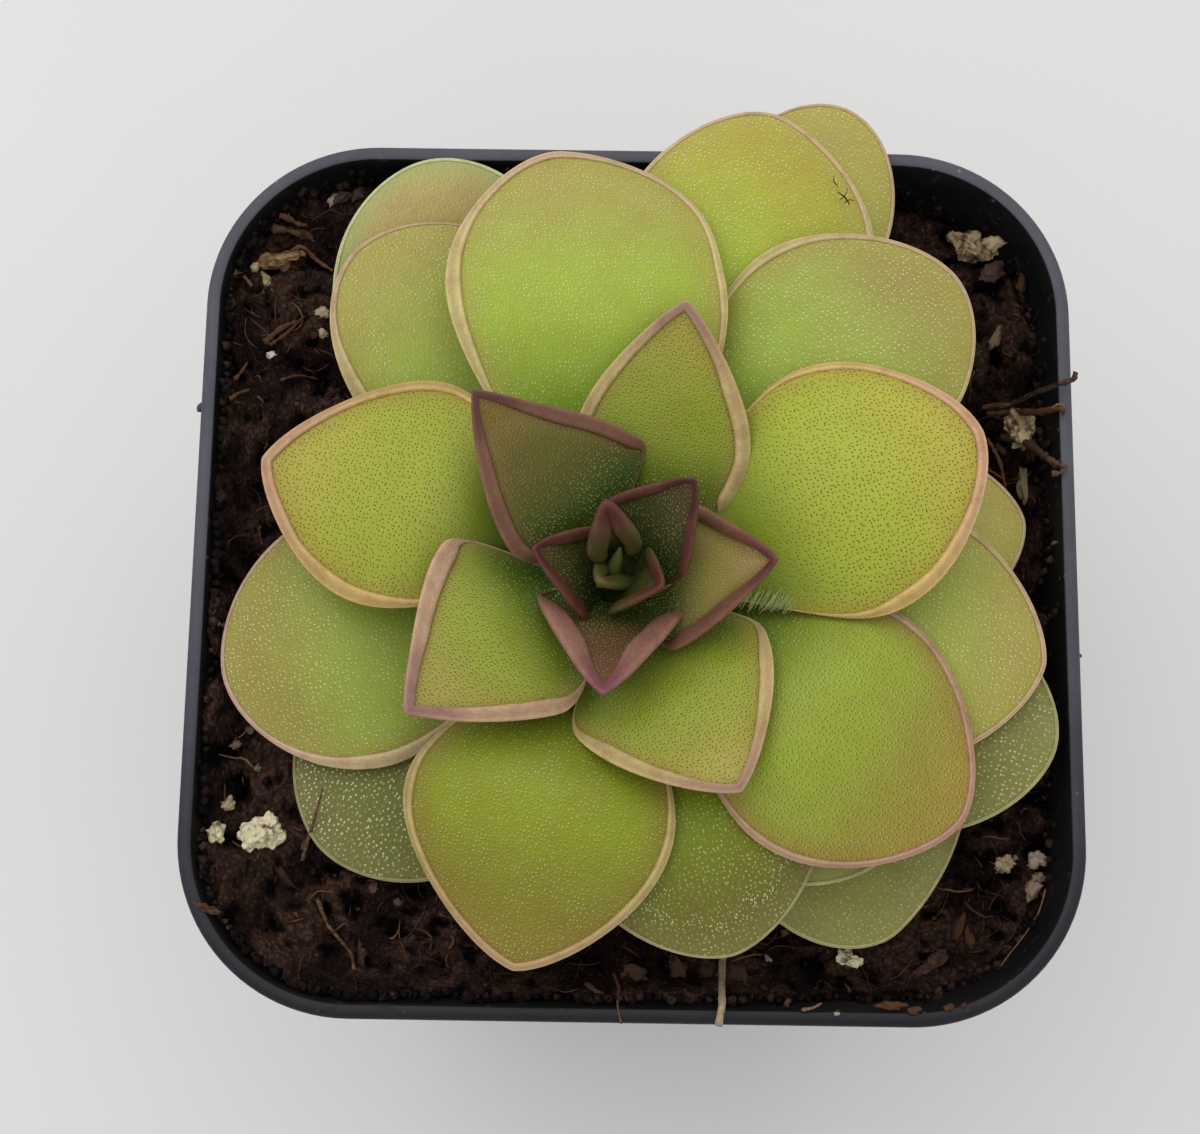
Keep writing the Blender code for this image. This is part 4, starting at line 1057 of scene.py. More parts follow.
# Strands: route on the mix, or at heights of its own, thickness at both ends, height over the mix, colour
strands = [
    ([(-35.2, 32.6, 72.6), (-33.6, 32.6, 72.4), (-32.0, 32.4, 71.6)], 0.42, 0.30, 0,
      (0.100, 0.050, 0.028)),
    ([(-33.1, 30.7), (-31.9, 31.1), (-30.6, 30.2), (-29.0, 29.1)], 0.24, 0.18, 1.0,
      (0.150, 0.062, 0.030)),
    ([(-37.9, 27.6, 72.9), (-37.7, 28.2, 73.1), (-36.9, 27.6, 72.6), (-36.5, 27.1, 72.0)], 0.22, 0.14, 0,
      (0.223, 0.120, 0.056)),
    ([(-33.9, 33.6, 73.4), (-33.2, 33.5, 73.2), (-32.3, 33.2, 72.4), (-31.6, 33.3, 71.8)], 0.34, 0.2, 0,
      (0.120, 0.058, 0.032)),
    ([(33.4, 16.6, 68.6), (35.6, 16.4, 69.8), (37.2, 15.5, 73.2), (38.4, 15.2, 75.5),
      (39.1, 14.9, 75.6)], 0.34, 0.20, 0, (0.099, 0.045, 0.022)),
    ([(38.0, 15.3, 75.3), (38.5, 15.6, 75.6), (39.0, 15.5, 75.5)], 0.12, 0.08, 0, (0.236, 0.132, 0.062)),
    ([(34.9, 14.3, 68.4), (36.4, 13.2, 71.0), (37.4, 11.3, 73.8), (38.2, 9.8, 75.4)], 0.38, 0.30, 0,
      (0.060, 0.034, 0.022)),
    ([(37.6, 10.6, 75.0), (38.5, 9.9, 75.6), (39.1, 9.6, 75.6)], 0.30, 0.12, 0, (0.11, 0.055, 0.036)),
    ([(37.9, 9.2, 75.2), (38.5, 9.2, 75.6), (39.2, 9.9, 75.5)], 0.26, 0.14, 0, (0.124, 0.072, 0.056)),
    ([(33.7, 14.3), (34.6, 11.9), (35.3, 9.0)], 0.26, 0.18, 1.6, (0.124, 0.057, 0.026)),
    ([(33.2, 11.4), (34.2, 10.8), (34.9, 10.2)], 0.14, 0.08, 1.6, (0.149, 0.072, 0.031)),
    ([(37.3, -28.0, 70.6), (36.6, -30.1, 70.6), (35.4, -32.0, 70.4), (33.8, -34.0, 70.3),
      (32.6, -35.4, 71.0)], 0.09, 0.06, 0, (0.223, 0.114, 0.046)),
    ([(-33.3, 17.9), (-31.9, 18.7), (-30.2, 18.9)], 0.16, 0.10, 0.5, (0.105, 0.051, 0.025)),
    ([(-35.1, 21.7), (-33.6, 23.0), (-32.2, 24.0)], 0.34, 0.20, 0.4, (0.085, 0.045, 0.028)),
    ([(-34.5, 21.4), (-33.0, 22.5), (-31.5, 24.6)], 0.20, 0.12, 0.7, (0.087, 0.039, 0.022)),
    ([(-37.3, 17.6), (-37.0, 18.6), (-36.6, 19.6)], 0.24, 0.12, 0.5, (0.136, 0.060, 0.028)),
    ([(-37.4, 15.4), (-36.9, 16.2), (-36.2, 16.9)], 0.20, 0.12, 0.5, (0.136, 0.066, 0.031)),
    ([(-37.4, -5.6), (-36.0, -5.7), (-34.6, -5.4)], 0.26, 0.2, 1.6, (0.11, 0.055, 0.03)),
    ([(-34.4, -6.0), (-35.8, -8.4), (-36.2, -11.2)], 0.26, 0.2, 0.6, (0.07, 0.04, 0.025)),
    ([(-1.4, -35.9), (-0.9, -37.2), (-1.0, -37.7)], 0.14, 0.10, 1.5, (0.124, 0.060, 0.031)),
    ([(-1.0, -37.6, 73.2), (-1.0, -38.7, 75.2), (-0.8, -39.5, 75.3), (-0.7, -40.0, 74.9)], 0.10, 0.07, 0,
      (0.161, 0.084, 0.043)),
    ([(-3.8, -36.8), (-2.9, -37.4), (-2.3, -37.6)], 0.26, 0.16, 1.2, (0.093, 0.048, 0.028)),
    ([(14.9, -38.6, 75.2), (15.8, -38.4, 75.5), (16.6, -38.0, 75.3)], 0.16, 0.08, 0,
      (0.223, 0.132, 0.068)),
    ([(33.0, -34.9), (35.0, -33.2), (36.2, -31.4)], 0.12, 0.10, 0.4, (0.099, 0.048, 0.025)),
]
# Loose bits: place, height where it isn't the mix's, length, width, height, turn, colour
bits = [
    (-34.4, 20.6, None, 1.0, 0.8, 0.7, 10, (0.70, 0.68, 0.60)),
    (-29.9, 25.0, None, 1.2, 1.0, 0.8, 0, (0.50, 0.42, 0.30)),
    (-29.6, 22.8, None, 0.9, 0.9, 0.7, 30, (0.50, 0.43, 0.30)),
    (-29.3, 36.1, None, 1.2, 0.8, 0.7, 60, (0.42, 0.34, 0.28)),
    (-28.4, 36.4, None, 1.8, 1.0, 0.8, 25, (0.093, 0.057, 0.043)),
    (-26.9, 36.8, None, 1.4, 1.0, 0.8, 60, (0.105, 0.066, 0.053)),
    (-35.4, 28.2, None, 2.1, 0.9, 0.8, -48, (0.50, 0.41, 0.22)),
    (-36.2, 28.9, None, 0.9, 0.7, 0.7, -80, (0.58, 0.48, 0.30)),
    (-33.6, 29.5, None, 1.1, 0.8, 0.7, 30, (0.285, 0.186, 0.074)),
    (-37.3, 28.4, None, 0.8, 0.7, 0.6, 0, (0.093, 0.060, 0.050)),
    (35.0, 24.8, None, 2.2, 0.9, 0.7, 65, (0.223, 0.156, 0.099)),
    (36.6, 28.8, 70.5, 1.8, 0.7, 0.6, 80, (0.074, 0.032, 0.015)),
    (36.8, 9.4, None, 3.4, 1.2, 1.0, 96, (0.248, 0.204, 0.118)),
    (-36.3, -21.6, None, 1.3, 1.0, 0.9, 20, (0.50, 0.42, 0.25)),
    (36.8, -25.4, 69.6, 1.5, 1.3, 1.2, 40, (0.46, 0.36, 0.28)),
    (36.5, -28.0, 69.2, 1.9, 1.2, 1.2, 60, (0.36, 0.25, 0.18)),
    (37.0, -27.0, 69.4, 1.1, 0.9, 1.0, 0, (0.28, 0.19, 0.14)),
    (35.6, -25.2, None, 0.5, 0.5, 0.5, 0, (0.50, 0.42, 0.34)),
    (22.7, -38.1, 75.2, 2.2, 0.6, 0.3, -3, (0.112, 0.045, 0.020)),
    (24.6, -38.5, 75.2, 1.0, 0.6, 0.3, 12, (0.090, 0.045, 0.024)),
    (27.6, -38.2, 75.1, 0.9, 0.5, 0.3, 10, (0.112, 0.048, 0.024)),
    (13.7, -38.0, 74.9, 0.7, 0.5, 0.4, 60, (0.082, 0.045, 0.026)),
    (17.9, -38.9, 75.1, 0.5, 0.3, 0.2, 0, (0.42, 0.38, 0.32)),
    (28.9, -38.0, 75.1, 0.5, 0.4, 0.3, 40, (0.074, 0.037, 0.022)),
    (4.4, -35.4, None, 2.4, 1.4, 1.0, -65, (0.093, 0.051, 0.031)),
    (7.0, -35.7, None, 2.6, 1.5, 1.1, 80, (0.081, 0.042, 0.028)),
    (9.6, -36.0, None, 2.4, 1.8, 1.0, -50, (0.085, 0.045, 0.032)),
    (0.5, -36.2, None, 2.2, 1.6, 1.1, -15, (0.11, 0.065, 0.04)),
    (12.7, -34.7, None, 0.7, 0.5, 0.4, -60, (0.30, 0.30, 0.32)),
    (14.2, -32.2, None, 0.8, 0.6, 0.5, 0, (0.174, 0.102, 0.056)),
    (30.2, -31.6, None, 2.6, 0.9, 0.8, 70, (0.081, 0.036, 0.019)),
    (31.2, -32.6, None, 2.0, 0.8, 0.7, -75, (0.093, 0.045, 0.022)),
    (-23.0, -28.8, None, 1.0, 0.8, 0.6, 60, (0.136, 0.072, 0.050)),
    (-20.8, -30.0, None, 0.8, 0.7, 0.6, 0, (0.124, 0.072, 0.050)),
    (-33.8, -18.3, None, 0.6, 0.6, 0.5, 0, (0.186, 0.144, 0.112)),
    (-35.9, -16.2, None, 0.9, 0.7, 0.6, 40, (0.211, 0.150, 0.093)),
    (-34.8, -14.8, None, 0.8, 0.7, 0.6, 0, (0.186, 0.138, 0.099)),
    (38.9, -0.1, 75.0, 0.5, 0.35, 0.2, 70, (0.186, 0.132, 0.112)),
    (33.7, 32.3, 72.0, 1.9, 1.3, 1.1, 20, (0.46, 0.36, 0.235)),
    (34.6, 31.0, None, 2.4, 1.8, 1.4, 30, (0.124, 0.084, 0.062)),
    (38.0, 2.9, 74.6, 0.6, 0.3, 0.2, 20, (0.099, 0.066, 0.050)),
]


lumpForm = {"radius": 0.5, "farthest": 60, "coarse": 3.2, "fine": 8, "fineShare": 0.5}


def lumpBody(rng, detail, uneven, form=lumpForm):
    ball = bmesh.new()
    bmesh.ops.create_icosphere(ball, subdivisions=detail, radius=form["radius"])
    offset = Vector(rng.uniform(0, form["farthest"], 3))
    points = []
    for vert in ball.verts:
        coarse, fine = [noise.noise(vert.co * form[often] + offset) for often in ("coarse", "fine")]
        points.append(vert.co * (1 + uneven * coarse + form["fineShare"] * uneven * fine))
    faces = [tuple(v.index for v in face.verts) for face in ball.faces]
    ball.free()
    return points, faces


def setDown(points, x, y, size, turn, rise, level=None):      # size a body, turn it and put it on the mix
    aim = Matrix.Rotation(turn, 3, "Z")
    level = (level or topAt(mixTree, x, y, mix["level"])) + rise
    sized = [Vector((p.x * size[0], p.y * size[1], p.z * size[2])) for p in points]
    return [aim @ point + Vector((x, y, level)) for point in sized]


def drawn(rng, low, high, rarity):      # a random size, where large ones are rare
    return low + (high - low) * rng.random() ** rarity


def shaded(rng, tints, shade):
    return np.array(tints[rng.integers(len(tints))]) * rng.uniform(*shade)


def scatterCrumbs(form, rng, kinds, crumbs):
    for _ in range(form["crumbs"]):
        x, y = rng.uniform(-form["reach"], form["reach"], 2)
        size = drawn(rng, *form["crumbSize"])
        points, faces = kinds[rng.integers(len(kinds))]
        shape = size * rng.uniform(*form["crumbShape"], 3)
        tint = shaded(rng, form["crumbTints"], form["crumbShade"])
        if wallRoom(x, y) > size:
            turn = rng.uniform(0, math.tau)
            crumbs.add(setDown(points, x, y, shape, turn, form["crumbRise"] * size), faces, tuple(tint))


def scatterFibres(form, rng, fibres):
    last = len(form["fibreProfile"]) - 1
    for _ in range(form["fibres"]):
        x, y = rng.uniform(-form["reach"], form["reach"], 2)
        heading, bend = rng.uniform(0, math.tau), rng.normal(0, form["fibreBend"])
        length, hump = drawn(rng, *form["fibreLength"]), rng.uniform(*form["fibreHump"])
        route = []
        for step in range(last + 1):
            level = topAt(mixTree, x, y, mix["level"]) + form["fibreRise"]
            route.append((x, y, level + hump * math.sin(math.pi * step / last)))
            x, y = x + length / last * math.cos(heading), y + length / last * math.sin(heading)
            heading += bend + rng.normal(0, form["fibreWander"])
        radius = drawn(rng, *form["fibreRadius"])
        tint = shaded(rng, form["fibreTints"], form["fibreShade"])
        if all(wallRoom(spot[0], spot[1]) > form["fibreRoom"] for spot in route):
            radii = [radius * share for share in form["fibreProfile"]]
            fibres.add(*tube(route, radii, form["fibreSides"]), tuple(tint))


def scatterChips(form, rng, chips):
    for _ in range(form["chips"]):
        x, y = rng.uniform(-form["reach"], form["reach"], 2)
        length, width = rng.uniform(*form["chipLength"]), rng.uniform(*form["chipWidth"])
        points, faces = lumpBody(rng, form["chipDetail"], form["chipUneven"])
        tint = shaded(rng, form["chipTints"], form["chipShade"])
        if wallRoom(x, y) > form["chipRoom"] * length:
            turn = rng.uniform(0, math.tau)
            shape = (length, width, form["chipHeight"])
            chips.add(setDown(points, x, y, shape, turn, form["chipRise"]), faces, tuple(tint))


def scatterClinging(form, rng, kinds, crumbs):      # crumbs that cling to the wall above the mix
    wall = mixOutline(mix, mix["edgeHalf"])
    for _ in range(form["clinging"]):
        spot = wall[rng.integers(len(wall))] * form["clingingAt"]
        points, faces = kinds[rng.integers(len(kinds))]
        size = rng.uniform(*form["clingingSize"])
        tint = shaded(rng, form["crumbTints"], form["clingingShade"])
        climb = rng.exponential(form["climb"][0 if spot.x > spot.y else 1])
        level = mixHeight(mix, spot.x, spot.y, form["clingingShare"])[0] + climb
        level = min(level, form["clingingTop"] - 0.5 * size)
        crumbs.add([p * size + Vector((spot.x, spot.y, level)) for p in points], faces, tuple(tint))


def scatterLitter(form):
    rng = np.random.default_rng(form["seed"])
    kinds = [lumpBody(rng, form["grainDetail"], form["grainUneven"]) for _ in range(form["grainKinds"])]
    crumbs, fibres, chips = Heap(), Heap(), Heap()
    scatterCrumbs(form, rng, kinds, crumbs)
    scatterFibres(form, rng, fibres)
    scatterChips(form, rng, chips)
    scatterClinging(form, rng, kinds, crumbs)
    for route, first, last, rise, tint in strands:
        spots = [s if len(s) == 3 else (*s, topAt(mixTree, *s, mix["level"]) + rise) for s in route]
        line = eased(spots, form["strandSteps"])
        radii = [(first + (last - first) * k / (len(line) - 1)) * (1 + form["strandUneven"] * rng.normal())
                 for k in range(len(line))]
        radii = [max(form["strandLeast"], radius) for radius in radii]
        fibres.add(*tube(line, radii, form["strandSides"]), tint)
    for x, y, level, length, width, height, turn, tint in bits:
        points, faces = lumpBody(rng, form["bitDetail"], form["bitUneven"])
        rise = 0.0 if level else form["bitRise"] * height
        shape = (length, width, height)
        chips.add(setDown(points, x, y, shape, math.radians(turn), rise, level), faces, tint)
    return crumbs, fibres, chips


crumbs, fibres, chips = scatterLitter(litter)
keepPiece("crumbs", crumbs.mesh("crumbs", grainFinish("crumb", grainLooks)), "potting_mix")
keepPiece("fibres", fibres.mesh("fibres", grainFinish("fibre", grainLooks)), "bark")
keepPiece("loose_bits", chips.mesh("looseBits", grainFinish("looseBit", grainLooks)), "bark")
print("litter scattered")


# Finer versions of the lumps, twigs and the stalk, made from their solids: cut up, shrunk by some
# millimetres, and given bumps of a size and a height. Each kind is named after its finish.
finer = {
    "perliteGrain": {"nodes": ["perlite_1", "perlite_2", "perlite_6"], "cuts": 5, "smooth": 0.8,
                     "shrink": 0.0, "bumps": [(1.5, 0.55), (0.6, 0.4), (0.28, 0.2)], "slot": "perlite"},
    "dirtyPerlite": {"nodes": ["perlite_3", "perlite_4", "perlite_5"], "cuts": 5, "smooth": 0.8,
                     "shrink": 0.0, "bumps": [(1.3, 0.7), (0.6, 0.45), (0.28, 0.2)], "slot": "perlite"},
    "barkFlake": {"nodes": ["bark_2", "bark_3", "bark_on_rim"], "cuts": 5, "smooth": 0.8,
                  "shrink": 0.1, "bumps": [(0.9, 0.3), (0.35, 0.16)], "slot": "bark"},
    "goldBark": {"nodes": ["bark_1"], "cuts": 6, "smooth": 0.8, "shrink": 0.0,
                 "bumps": [(1.4, 0.45), (0.5, 0.2)], "slot": "bark"},
    "twig": {"nodes": ["twig_front_left", "twig_right", "root_over_rim"], "cuts": 5, "smooth": 0.2,
             "shrink": 0.14, "bumps": [(0.9, 0.16), (0.4, 0.10)], "slot": "bark"},
    "fibreWood": {"nodes": ["bark_fibre"], "cuts": 4, "smooth": 0.1, "shrink": 0.24,
                  "bumps": [(0.9, 0.06)], "slot": "bark"},
    "dryStalk": {"nodes": ["dry_stalk"], "cuts": 5, "smooth": 0.2, "shrink": 0.12,
                 "bumps": [(1.2, 0.08), (0.4, 0.04)], "slot": "dry_stalk"},
}
bumpLevel = 0.2     # taken off every bump, so that a lump keeps its size
sameSpot = 1e-6     # metres, below which two points of a solid are one
moved = {           # shift from the solid in millimetres, and size
    "bark_1": (-0.2, 0.1, -3.0, 1.0), "bark_2": (-0.6, 0.1, 0.0, 1.0), "bark_on_rim": (0.7, 0.2, -0.4, 1.0),
    "perlite_1": (1.0, -0.2, 0.1, 1.0), "perlite_2": (-0.3, 0.0, 0.9, 1.1),
    "perlite_3": (0.9, 1.5, 1.0, 1.0), "perlite_4": (0.5, -0.9, 3.0, 1.25),
    "perlite_5": (-0.1, -0.3, 0.3, 0.5),
}


def refined(node, form, material):
    body = bmesh.new()
    body.from_mesh(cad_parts[node].data)
    bmesh.ops.remove_doubles(body, verts=body.verts, dist=sameSpot)
    bmesh.ops.subdivide_edges(body, edges=body.edges, cuts=form["cuts"], smooth=form["smooth"],
                              use_grid_fill=True)
    body.normal_update()
    moves = []
    for vert in body.verts:
        spot = vert.co / mm
        moves.append(sum(high * (noise.noise(spot / size) - bumpLevel) for size, high in form["bumps"]))
    x, y, z, size = moved.get(node, (0, 0, 0, 1.0))
    centre = sum((vert.co for vert in body.verts), Vector()) / len(body.verts)
    for vert, move in zip(body.verts, moves):
        grown = vert.co + vert.normal * (move - form["shrink"]) * mm
        vert.co = centre + (grown - centre) * size + Vector((x, y, z)) * mm
    mesh = bpy.data.meshes.new(node + "_fine")
    body.to_mesh(mesh)
    body.free()
    mesh.materials.clear()
    mesh.materials.append(material)
    mesh.shade_smooth()
    return mesh


perliteLooks = {
    "perliteGrain": {"light": (0.86, 0.77, 0.49), "clean": (0.54, 0.68)},
    "dirtyPerlite": {"light": (0.56, 0.42, 0.235), "clean": (0.47, 0.61)},
    "stainColor": (0.10, 0.058, 0.036), "stainHigh": 1.5,
    "stains": (620, 5, 0.65),       # per metre, detail, roughness
    "holeColor": (0.26, 0.17, 0.08), "holesPerMetre": 1300, "holes": (0.34, 0.10), "holeStrength": 0.55,
    "specular": 0.25, "roughness": 0.7, "rougher": 0.25, "relief": (0.0005, 1.0),
}


def perliteFinish(name, looks):
    look = looks[name]
    stone = Finish(name, Specular_IOR_Level=looks["specular"])
    where = stone.places()
    stains = stone.grain(where, *looks["stains"])
    holes = stone.cells(where, looks["holesPerMetre"], 1.0)
    color = stone.blend(stone.between(stains, *look["clean"]), look["light"], looks["stainColor"])
    dark = stone.between(holes, *looks["holes"]) * looks["holeStrength"]
    color = stone.blend(dark, color, looks["holeColor"])
    return stone.feed(Base_Color=color, Roughness=looks["roughness"] + stains * looks["rougher"],
                      Normal=stone.relief(holes + stains * looks["stainHigh"], *looks["relief"]))


woodLooks = {       # dark and light of the streaks, and the colour of the clouds over them
    "barkFlake": ((0.030, 0.014, 0.009), (0.10, 0.050, 0.029), (0.17, 0.080, 0.036)),
    "goldBark": ((0.05, 0.026, 0.013), (0.40, 0.24, 0.10), (0.20, 0.09, 0.035)),
    "fibreWood": ((0.05, 0.028, 0.014), (0.26, 0.14, 0.06), (0.09, 0.045, 0.02)),
    "twig": ((0.025, 0.014, 0.010), (0.10, 0.052, 0.030), (0.24, 0.12, 0.05)),
    "dryStalk": ((0.30, 0.22, 0.12), (0.52, 0.42, 0.27), (0.36, 0.22, 0.11)),
    "stickWood": ((0.05, 0.026, 0.016), (0.20, 0.11, 0.06), (0.09, 0.045, 0.025)),
}
woodGrain = {
    "stretch": (700, 2600, 2600), "streakDetail": (4, 0.6), "streaks": (0.3, 0.7),
    "cloudsPerMetre": 480, "clouds": (0.5, 0.75), "cloudStrength": 0.8, "cloudHigh": 0.5,
    "specular": 0.2, "roughness": 0.55, "rougher": 0.3, "relief": (0.0002, 0.8),
}


def woodFinish(name, grain):
    dark, light, cloudColor = woodLooks[name]
    wood = Finish(name, Specular_IOR_Level=grain["specular"])
    where = wood.places()
    streaks = wood.grain(wood.stretched(where, grain["stretch"]), 1.0, *grain["streakDetail"])
    clouds = wood.grain(where, grain["cloudsPerMetre"])
    color = wood.blend(wood.between(streaks, *grain["streaks"]), dark, light)
    color = wood.blend(wood.between(clouds, *grain["clouds"]) * grain["cloudStrength"], color, cloudColor)
    return wood.feed(Base_Color=color, Roughness=grain["roughness"] + streaks * grain["rougher"],
                     Normal=wood.relief(streaks + clouds * grain["cloudHigh"], *grain["relief"]))


stemLook = {
    "specular": 0.08, "roughness": 0.6, "depth": 0.1, "depthScale": 0.001, "cloudsPerMetre": 600,
    "dark": (0.006, 0.010, 0.003), "light": (0.022, 0.030, 0.007), "relief": (0.0003, 0.7),
}


def stemFinish(look):
    stem = Finish("crownStem", Roughness=look["roughness"], Specular_IOR_Level=look["specular"],
                  Subsurface_Weight=look["depth"], Subsurface_Scale=look["depthScale"])
    clouds = stem.grain(stem.places(), look["cloudsPerMetre"], 4)
    return stem.feed(Base_Color=stem.blend(clouds, look["dark"], look["light"]),
                     Normal=stem.relief(clouds, *look["relief"]))


finishes = {kind: perliteFinish(kind, perliteLooks) for kind in ("perliteGrain", "dirtyPerlite")}
finishes.update({kind: woodFinish(kind, woodGrain) for kind in woodLooks})

crown = {
    "profile": [(0, 85.2), (0.9, 85.1), (1.8, 84.4), (2.7, 83.2), (3.2, 81.6), (3.4, 78.0), (3.6, 74.0),
                (3.6, 62.0), (1.8, 60.3), (0, 60.0)],       # radius and height
    "profileSteps": 5, "steps": 40, "leastRadius": 0.01,
    "bulges": (1.3, 0.10), "lumps": (0.7, 0.25),            # size, then share of the radius or height
}


def buildCrown(form, material):     # turned about the crown's axis, with a lumpy surface
    line = eased([(radius, 0, z) for radius, z in form["profile"]], form["profileSteps"])
    bulge, bulgeShare = form["bulges"]
    lump, lumpHeight = form["lumps"]
    points = []
    for radius, _, z in line:
        radius = max(radius, form["leastRadius"])
        for angle in np.arange(form["steps"]) / form["steps"] * math.tau:
            spot = Vector((radius * math.cos(angle), radius * math.sin(angle), z))
            wide = 1 + bulgeShare * noise.noise(spot / bulge)
            points.append((crownAxis[0] + spot.x * wide, crownAxis[1] + spot.y * wide,
                           z + lumpHeight * noise.noise(spot / lump)))
    faces = [face[::-1] for face in ringFaces(len(line), form["steps"])]
    return meshFrom("crown_fine", points, faces, [material])


keepPiece("crown_fine", buildCrown(crown, stemFinish(stemLook)), "stem", "crown")
for kind, form in finer.items():
    for node in form["nodes"]:
        keepPiece(node + "_fine", refined(node, form, finishes[kind]), form["slot"], node)
print("litter refined")


# Sticky drops and fine hairs on the leaves
drops = {       # how many, radius, from this share of the leaf, nearest to the edge, spread inwards
    "leaf_low_right": (150, 0.08, 0.25, 1.0, 4.0), "leaf_low_front_right": (170, 0.07, 0.45, 1.2, 1.5),
    "leaf_low_front_left": (260, 0.085, 0.2, 1.6, 3.5), "leaf_low_right_front": (150, 0.08, 0.3, 1.5, 3.0),
    "leaf_low_inner_front": (40, 0.07, 0.6, 0.8, 1.5), "leaf_outer_front": (1050, 0.060, 0.56, 2.0, 2.0),
    "leaf_outer_left": (260, 0.062, 0.35, 1.6, 2.2), "leaf_outer_right": (260, 0.062, 0.35, 1.4, 2.6),
    "leaf_outer_back_right": (160, 0.055, 0.4, 1.5, 3.0), "leaf_outer_back_left": (200, 0.06, 0.3, 1.6, 3.0),
    "leaf_outer_back": (220, 0.062, 0.4, 1.6, 3.5), "leaf_main_back": (320, 0.055, 0.45, 2.0, 3.0),
}
dropForm = {
    "seed": 5, "edgeSteps": 160, "thinOut": 1.2, "rise": 0.03, "size": (0.55, 1.2), "longer": 1.7,
    "sides": 5, "profile": ((1.0, 0.0), (0.8, 0.6)),        # share of the radius, and height
    # the drops' pale tint is partly the mucilage's own and partly a painted highlight for their glint
    "tint": (0.60, 0.66, 0.42), "lighter": (0.60, 0.66, 0.30), "patchesPerMetre": 1500, "patches": 0.5,
}
# Tufts of hairs: roots from and to, root height, count, length, lean
tufts = [((8.4, -4.6), (13.6, -5.0), 82.4, 62, 2.7, (0.42, 0.72)),
         ((-5.2, -5.8), (2.8, -5.5), 83.8, 100, 0.8, (0.05, -0.5)),
         ((-6.8, -3.0), (-4.6, -5.2), 83.6, 40, 1.0, (-0.6, -0.35)),
         ((-6.0, 1.5), (-3.5, 2.2), 84.0, 30, 0.9, (-0.3, 0.7)),
         ((2.2, -3.6), (2.9, -1.0), 84.5, 40, 0.8, (0.5, 0.2)),
         ((3.0, -9.0), (7.5, -6.0), 80.0, 45, 1.0, (0.5, -0.6)),
         ((-9.2, -4.4), (-6.6, -8.4), 80.0, 40, 0.9, (-0.6, -0.3))]
hairForm = {
    "seed": 8, "scatter": 0.16, "rootHeight": (-0.2, 0.2), "leanVaries": 0.13, "upright": 0.55,
    "curl": 0.10, "droop": -0.15, "length": (0.45, 1.0), "steps": (0, 0.4, 0.75, 1.0),
    "radii": [0.042, 0.036, 0.025, 0.012], "sides": 3,
    "tint": (0.48, 0.60, 0.20), "lighter": (0.66, 0.72, 0.38), "patchesPerMetre": 900, "patches": 0.7,
}


def scatterDrops(table, form):
    rng = np.random.default_rng(form["seed"])
    heap = Heap()
    sides = form["sides"]
    around = [(math.cos(a), math.sin(a)) for a in np.arange(sides) / sides * math.tau]
    faces = [(k, (k + 1) % sides, sides + (k + 1) % sides, sides + k) for k in range(sides)]
    faces += [(sides + k, sides + (k + 1) % sides, 2 * sides) for k in range(sides)]
    for name, (count, radius, first, nearest, spread) in table.items():
        blade = blades[name]
        shares, acrosses = blade.margin(form["edgeSteps"])
        steps = np.hypot(np.gradient(shares) * blade.length, np.gradient(acrosses)) * (shares > first)
        for edge in rng.choice(len(shares), count, p=steps / steps.sum()):
            toward = Vector(((blade.spineEnd - 1) * shares[edge] * blade.length, -acrosses[edge]))
            inward = nearest + rng.exponential(spread)
            if rng.random() < form["thinOut"] * inward / toward.length:
                continue
            spot = toward.normalized() * inward
            share = shares[edge] + spot.x / blade.length
            x, y, z = blade.place(share, acrosses[edge] + spot.y, form["rise"])
            size = radius * rng.uniform(*form["size"])
            body = [(x + size * wide * c, y + form["longer"] * size * wide * s, z + size * high)
                    for wide, high in form["profile"] for c, s in around]
            heap.add(body + [(x, y, z + size)], faces, form["tint"])
    return heap


def scatterHairs(table, form):
    rng = np.random.default_rng(form["seed"])
    heap = Heap()
    for first, last, level, count, length, lean in table:
        for _ in range(count):
            spot = Vector(first).lerp(Vector(last), rng.random()) + Vector(rng.normal(0, form["scatter"], 2))
            foot = Vector((spot.x, spot.y, level + rng.uniform(*form["rootHeight"])))
            aim = Vector((*rng.normal(lean, form["leanVaries"]), form["upright"])).normalized()
            curl = Vector((*rng.normal(0, form["curl"], 2), form["droop"]))
            tall = length * rng.uniform(*form["length"])
            route = [foot + aim * tall * t + curl * tall * t * t for t in form["steps"]]
            points, faces = tube(route, form["radii"], form["sides"])
            heap.add(points, faces, form["tint"])
    return heap


def patchyFinish(name, form, **fixed):
    soft = Finish(name, **fixed)
    patches = soft.grain(soft.places(), form["patchesPerMetre"], 2)
    color = soft.blend(patches * form["patches"], soft.stored("tint", "Color"), form["lighter"])
    return soft.feed(Base_Color=color)


# sticky drops, painted pale partly as a painted highlight
dropFinish = patchyFinish("stickyDrop", dropForm, Roughness=0.25, IOR=1.4, Specular_IOR_Level=0.35)
hairFinish = patchyFinish("leafHair", hairForm, Roughness=0.35)


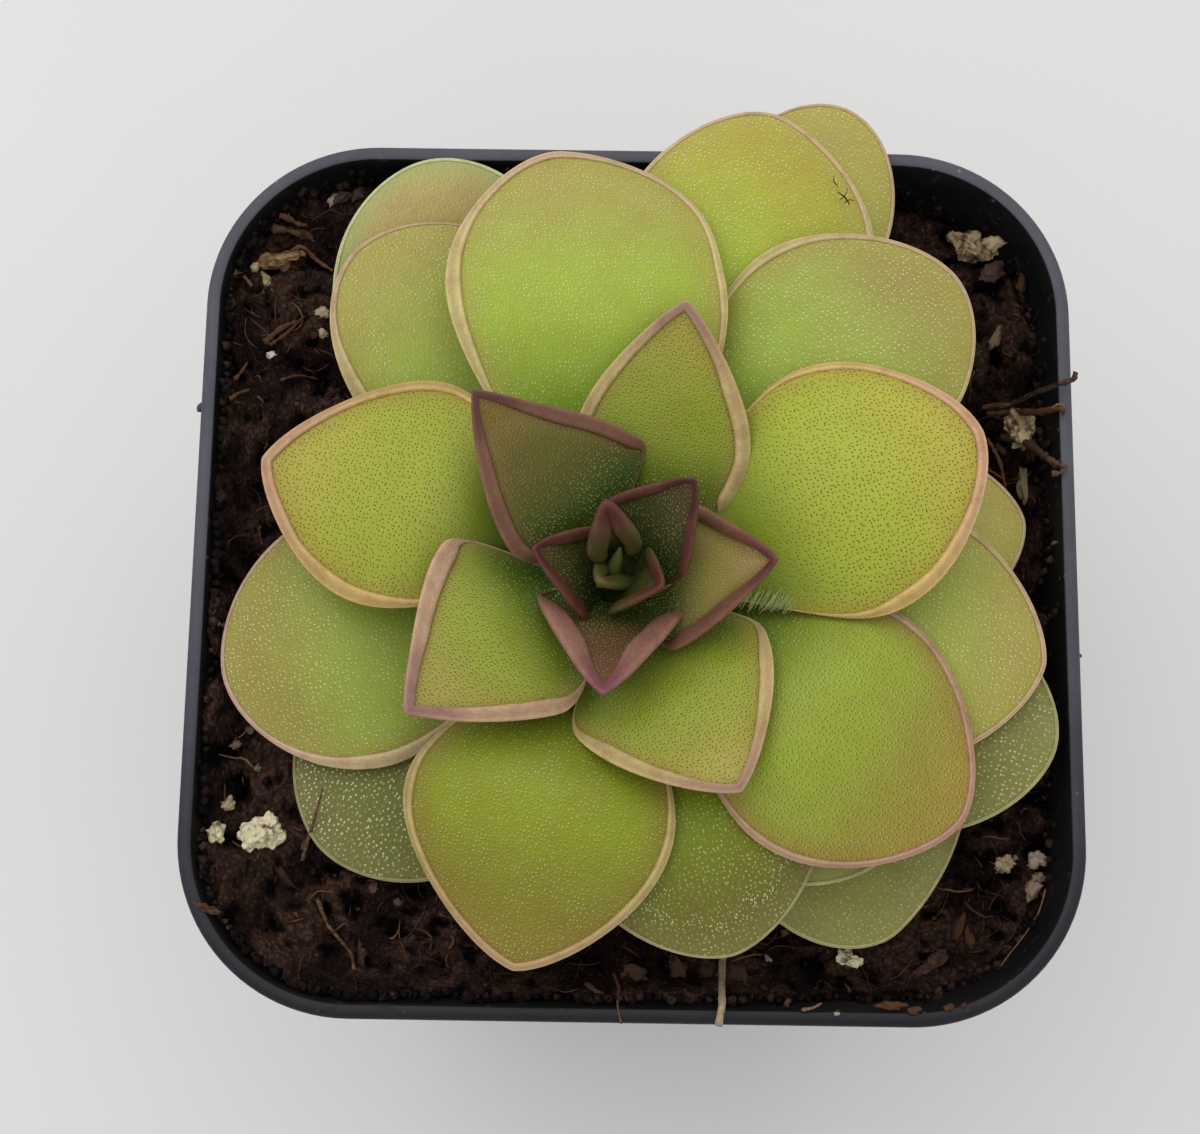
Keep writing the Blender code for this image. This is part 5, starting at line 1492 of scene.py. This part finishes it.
# The newest blade, a stick on a low leaf, insect remains and the nubs of the pot's moulding:
# routes, each with its radii from end to end
smallThings = {
    "newest_leaf": {"slot": "young_leaf", "sides": 10, "runs": [
        ([(-2.0, -3.1, 86.8), (-1.9, -2.5, 88.2), (-1.6, -1.8, 89.4), (-1.4, -1.1, 90.4)],
         [0.60, 0.60, 0.46, 0.12])]},
    "stick_on_leaf": {"slot": "bark", "sides": 7, "runs": [
        ([(-27.4, -20.2, 74.4), (-28.1, -22.6, 73.6), (-28.8, -24.6, 72.4), (-29.5, -26.4, 71.0)],
         [0.08, 0.13, 0.16, 0.20])]},
    "insect_remains": {"slot": "bark", "sides": 5, "runs": [
        ([(17.6, 35.6, 79.8), (17.7, 35.0, 79.9), (18.1, 34.5, 79.9)], [0.03, 0.05, 0.03]),
        ([(18.0, 34.1, 79.8), (18.6, 33.6, 79.9), (19.1, 32.9, 79.8)], [0.04, 0.08, 0.05]),
        ([(18.2, 33.3, 79.8), (18.7, 33.8, 79.9), (18.9, 34.4, 79.9)], [0.03, 0.04, 0.03]),
        ([(18.6, 33.0, 79.8), (19.0, 33.3, 79.9), (19.6, 33.3, 79.8)], [0.03, 0.05, 0.03])]},
    "pot_nubs": {"slot": "pot_plastic", "sides": 8, "runs": [
        ([(-39.7, 14.9, 74.0), (-40.25, 14.6, 74.0), (-40.3, 14.2, 73.9)], [0.45, 0.35, 0.18]),
        ([(39.7, -7.3, 74.0), (40.3, -7.3, 74.0)], [0.28, 0.16])]},
}
smallSteps = 5      # between two spots of a route


def smallThing(name, form, material):
    heap = Heap()
    for route, radii in form["runs"]:
        line = eased(route, smallSteps)
        thick = np.interp(np.linspace(0, 1, len(line)), np.linspace(0, 1, len(radii)), radii)
        heap.add(*tube(line, thick, form["sides"]), (1.0, 1.0, 1.0))
    return heap.mesh(name, material)


smallFinishes = {
    "newest_leaf": grainFinish("newestLeaf", grainLooks),
    "stick_on_leaf": finishes["stickWood"],
    "insect_remains": grainFinish("insectShell", grainLooks),
    "pot_nubs": potFinishes[0],
}
for name, form in smallThings.items():
    keepPiece(name, smallThing(name, form, smallFinishes[name]), form["slot"])
keepPiece("sticky_drops", scatterDrops(drops, dropForm).mesh("stickyDrops", dropFinish), "leaf")
keepPiece("leaf_hairs", scatterHairs(tufts, hairForm).mesh("leafHairs", hairFinish), "leaf")
print("drops and hairs set")
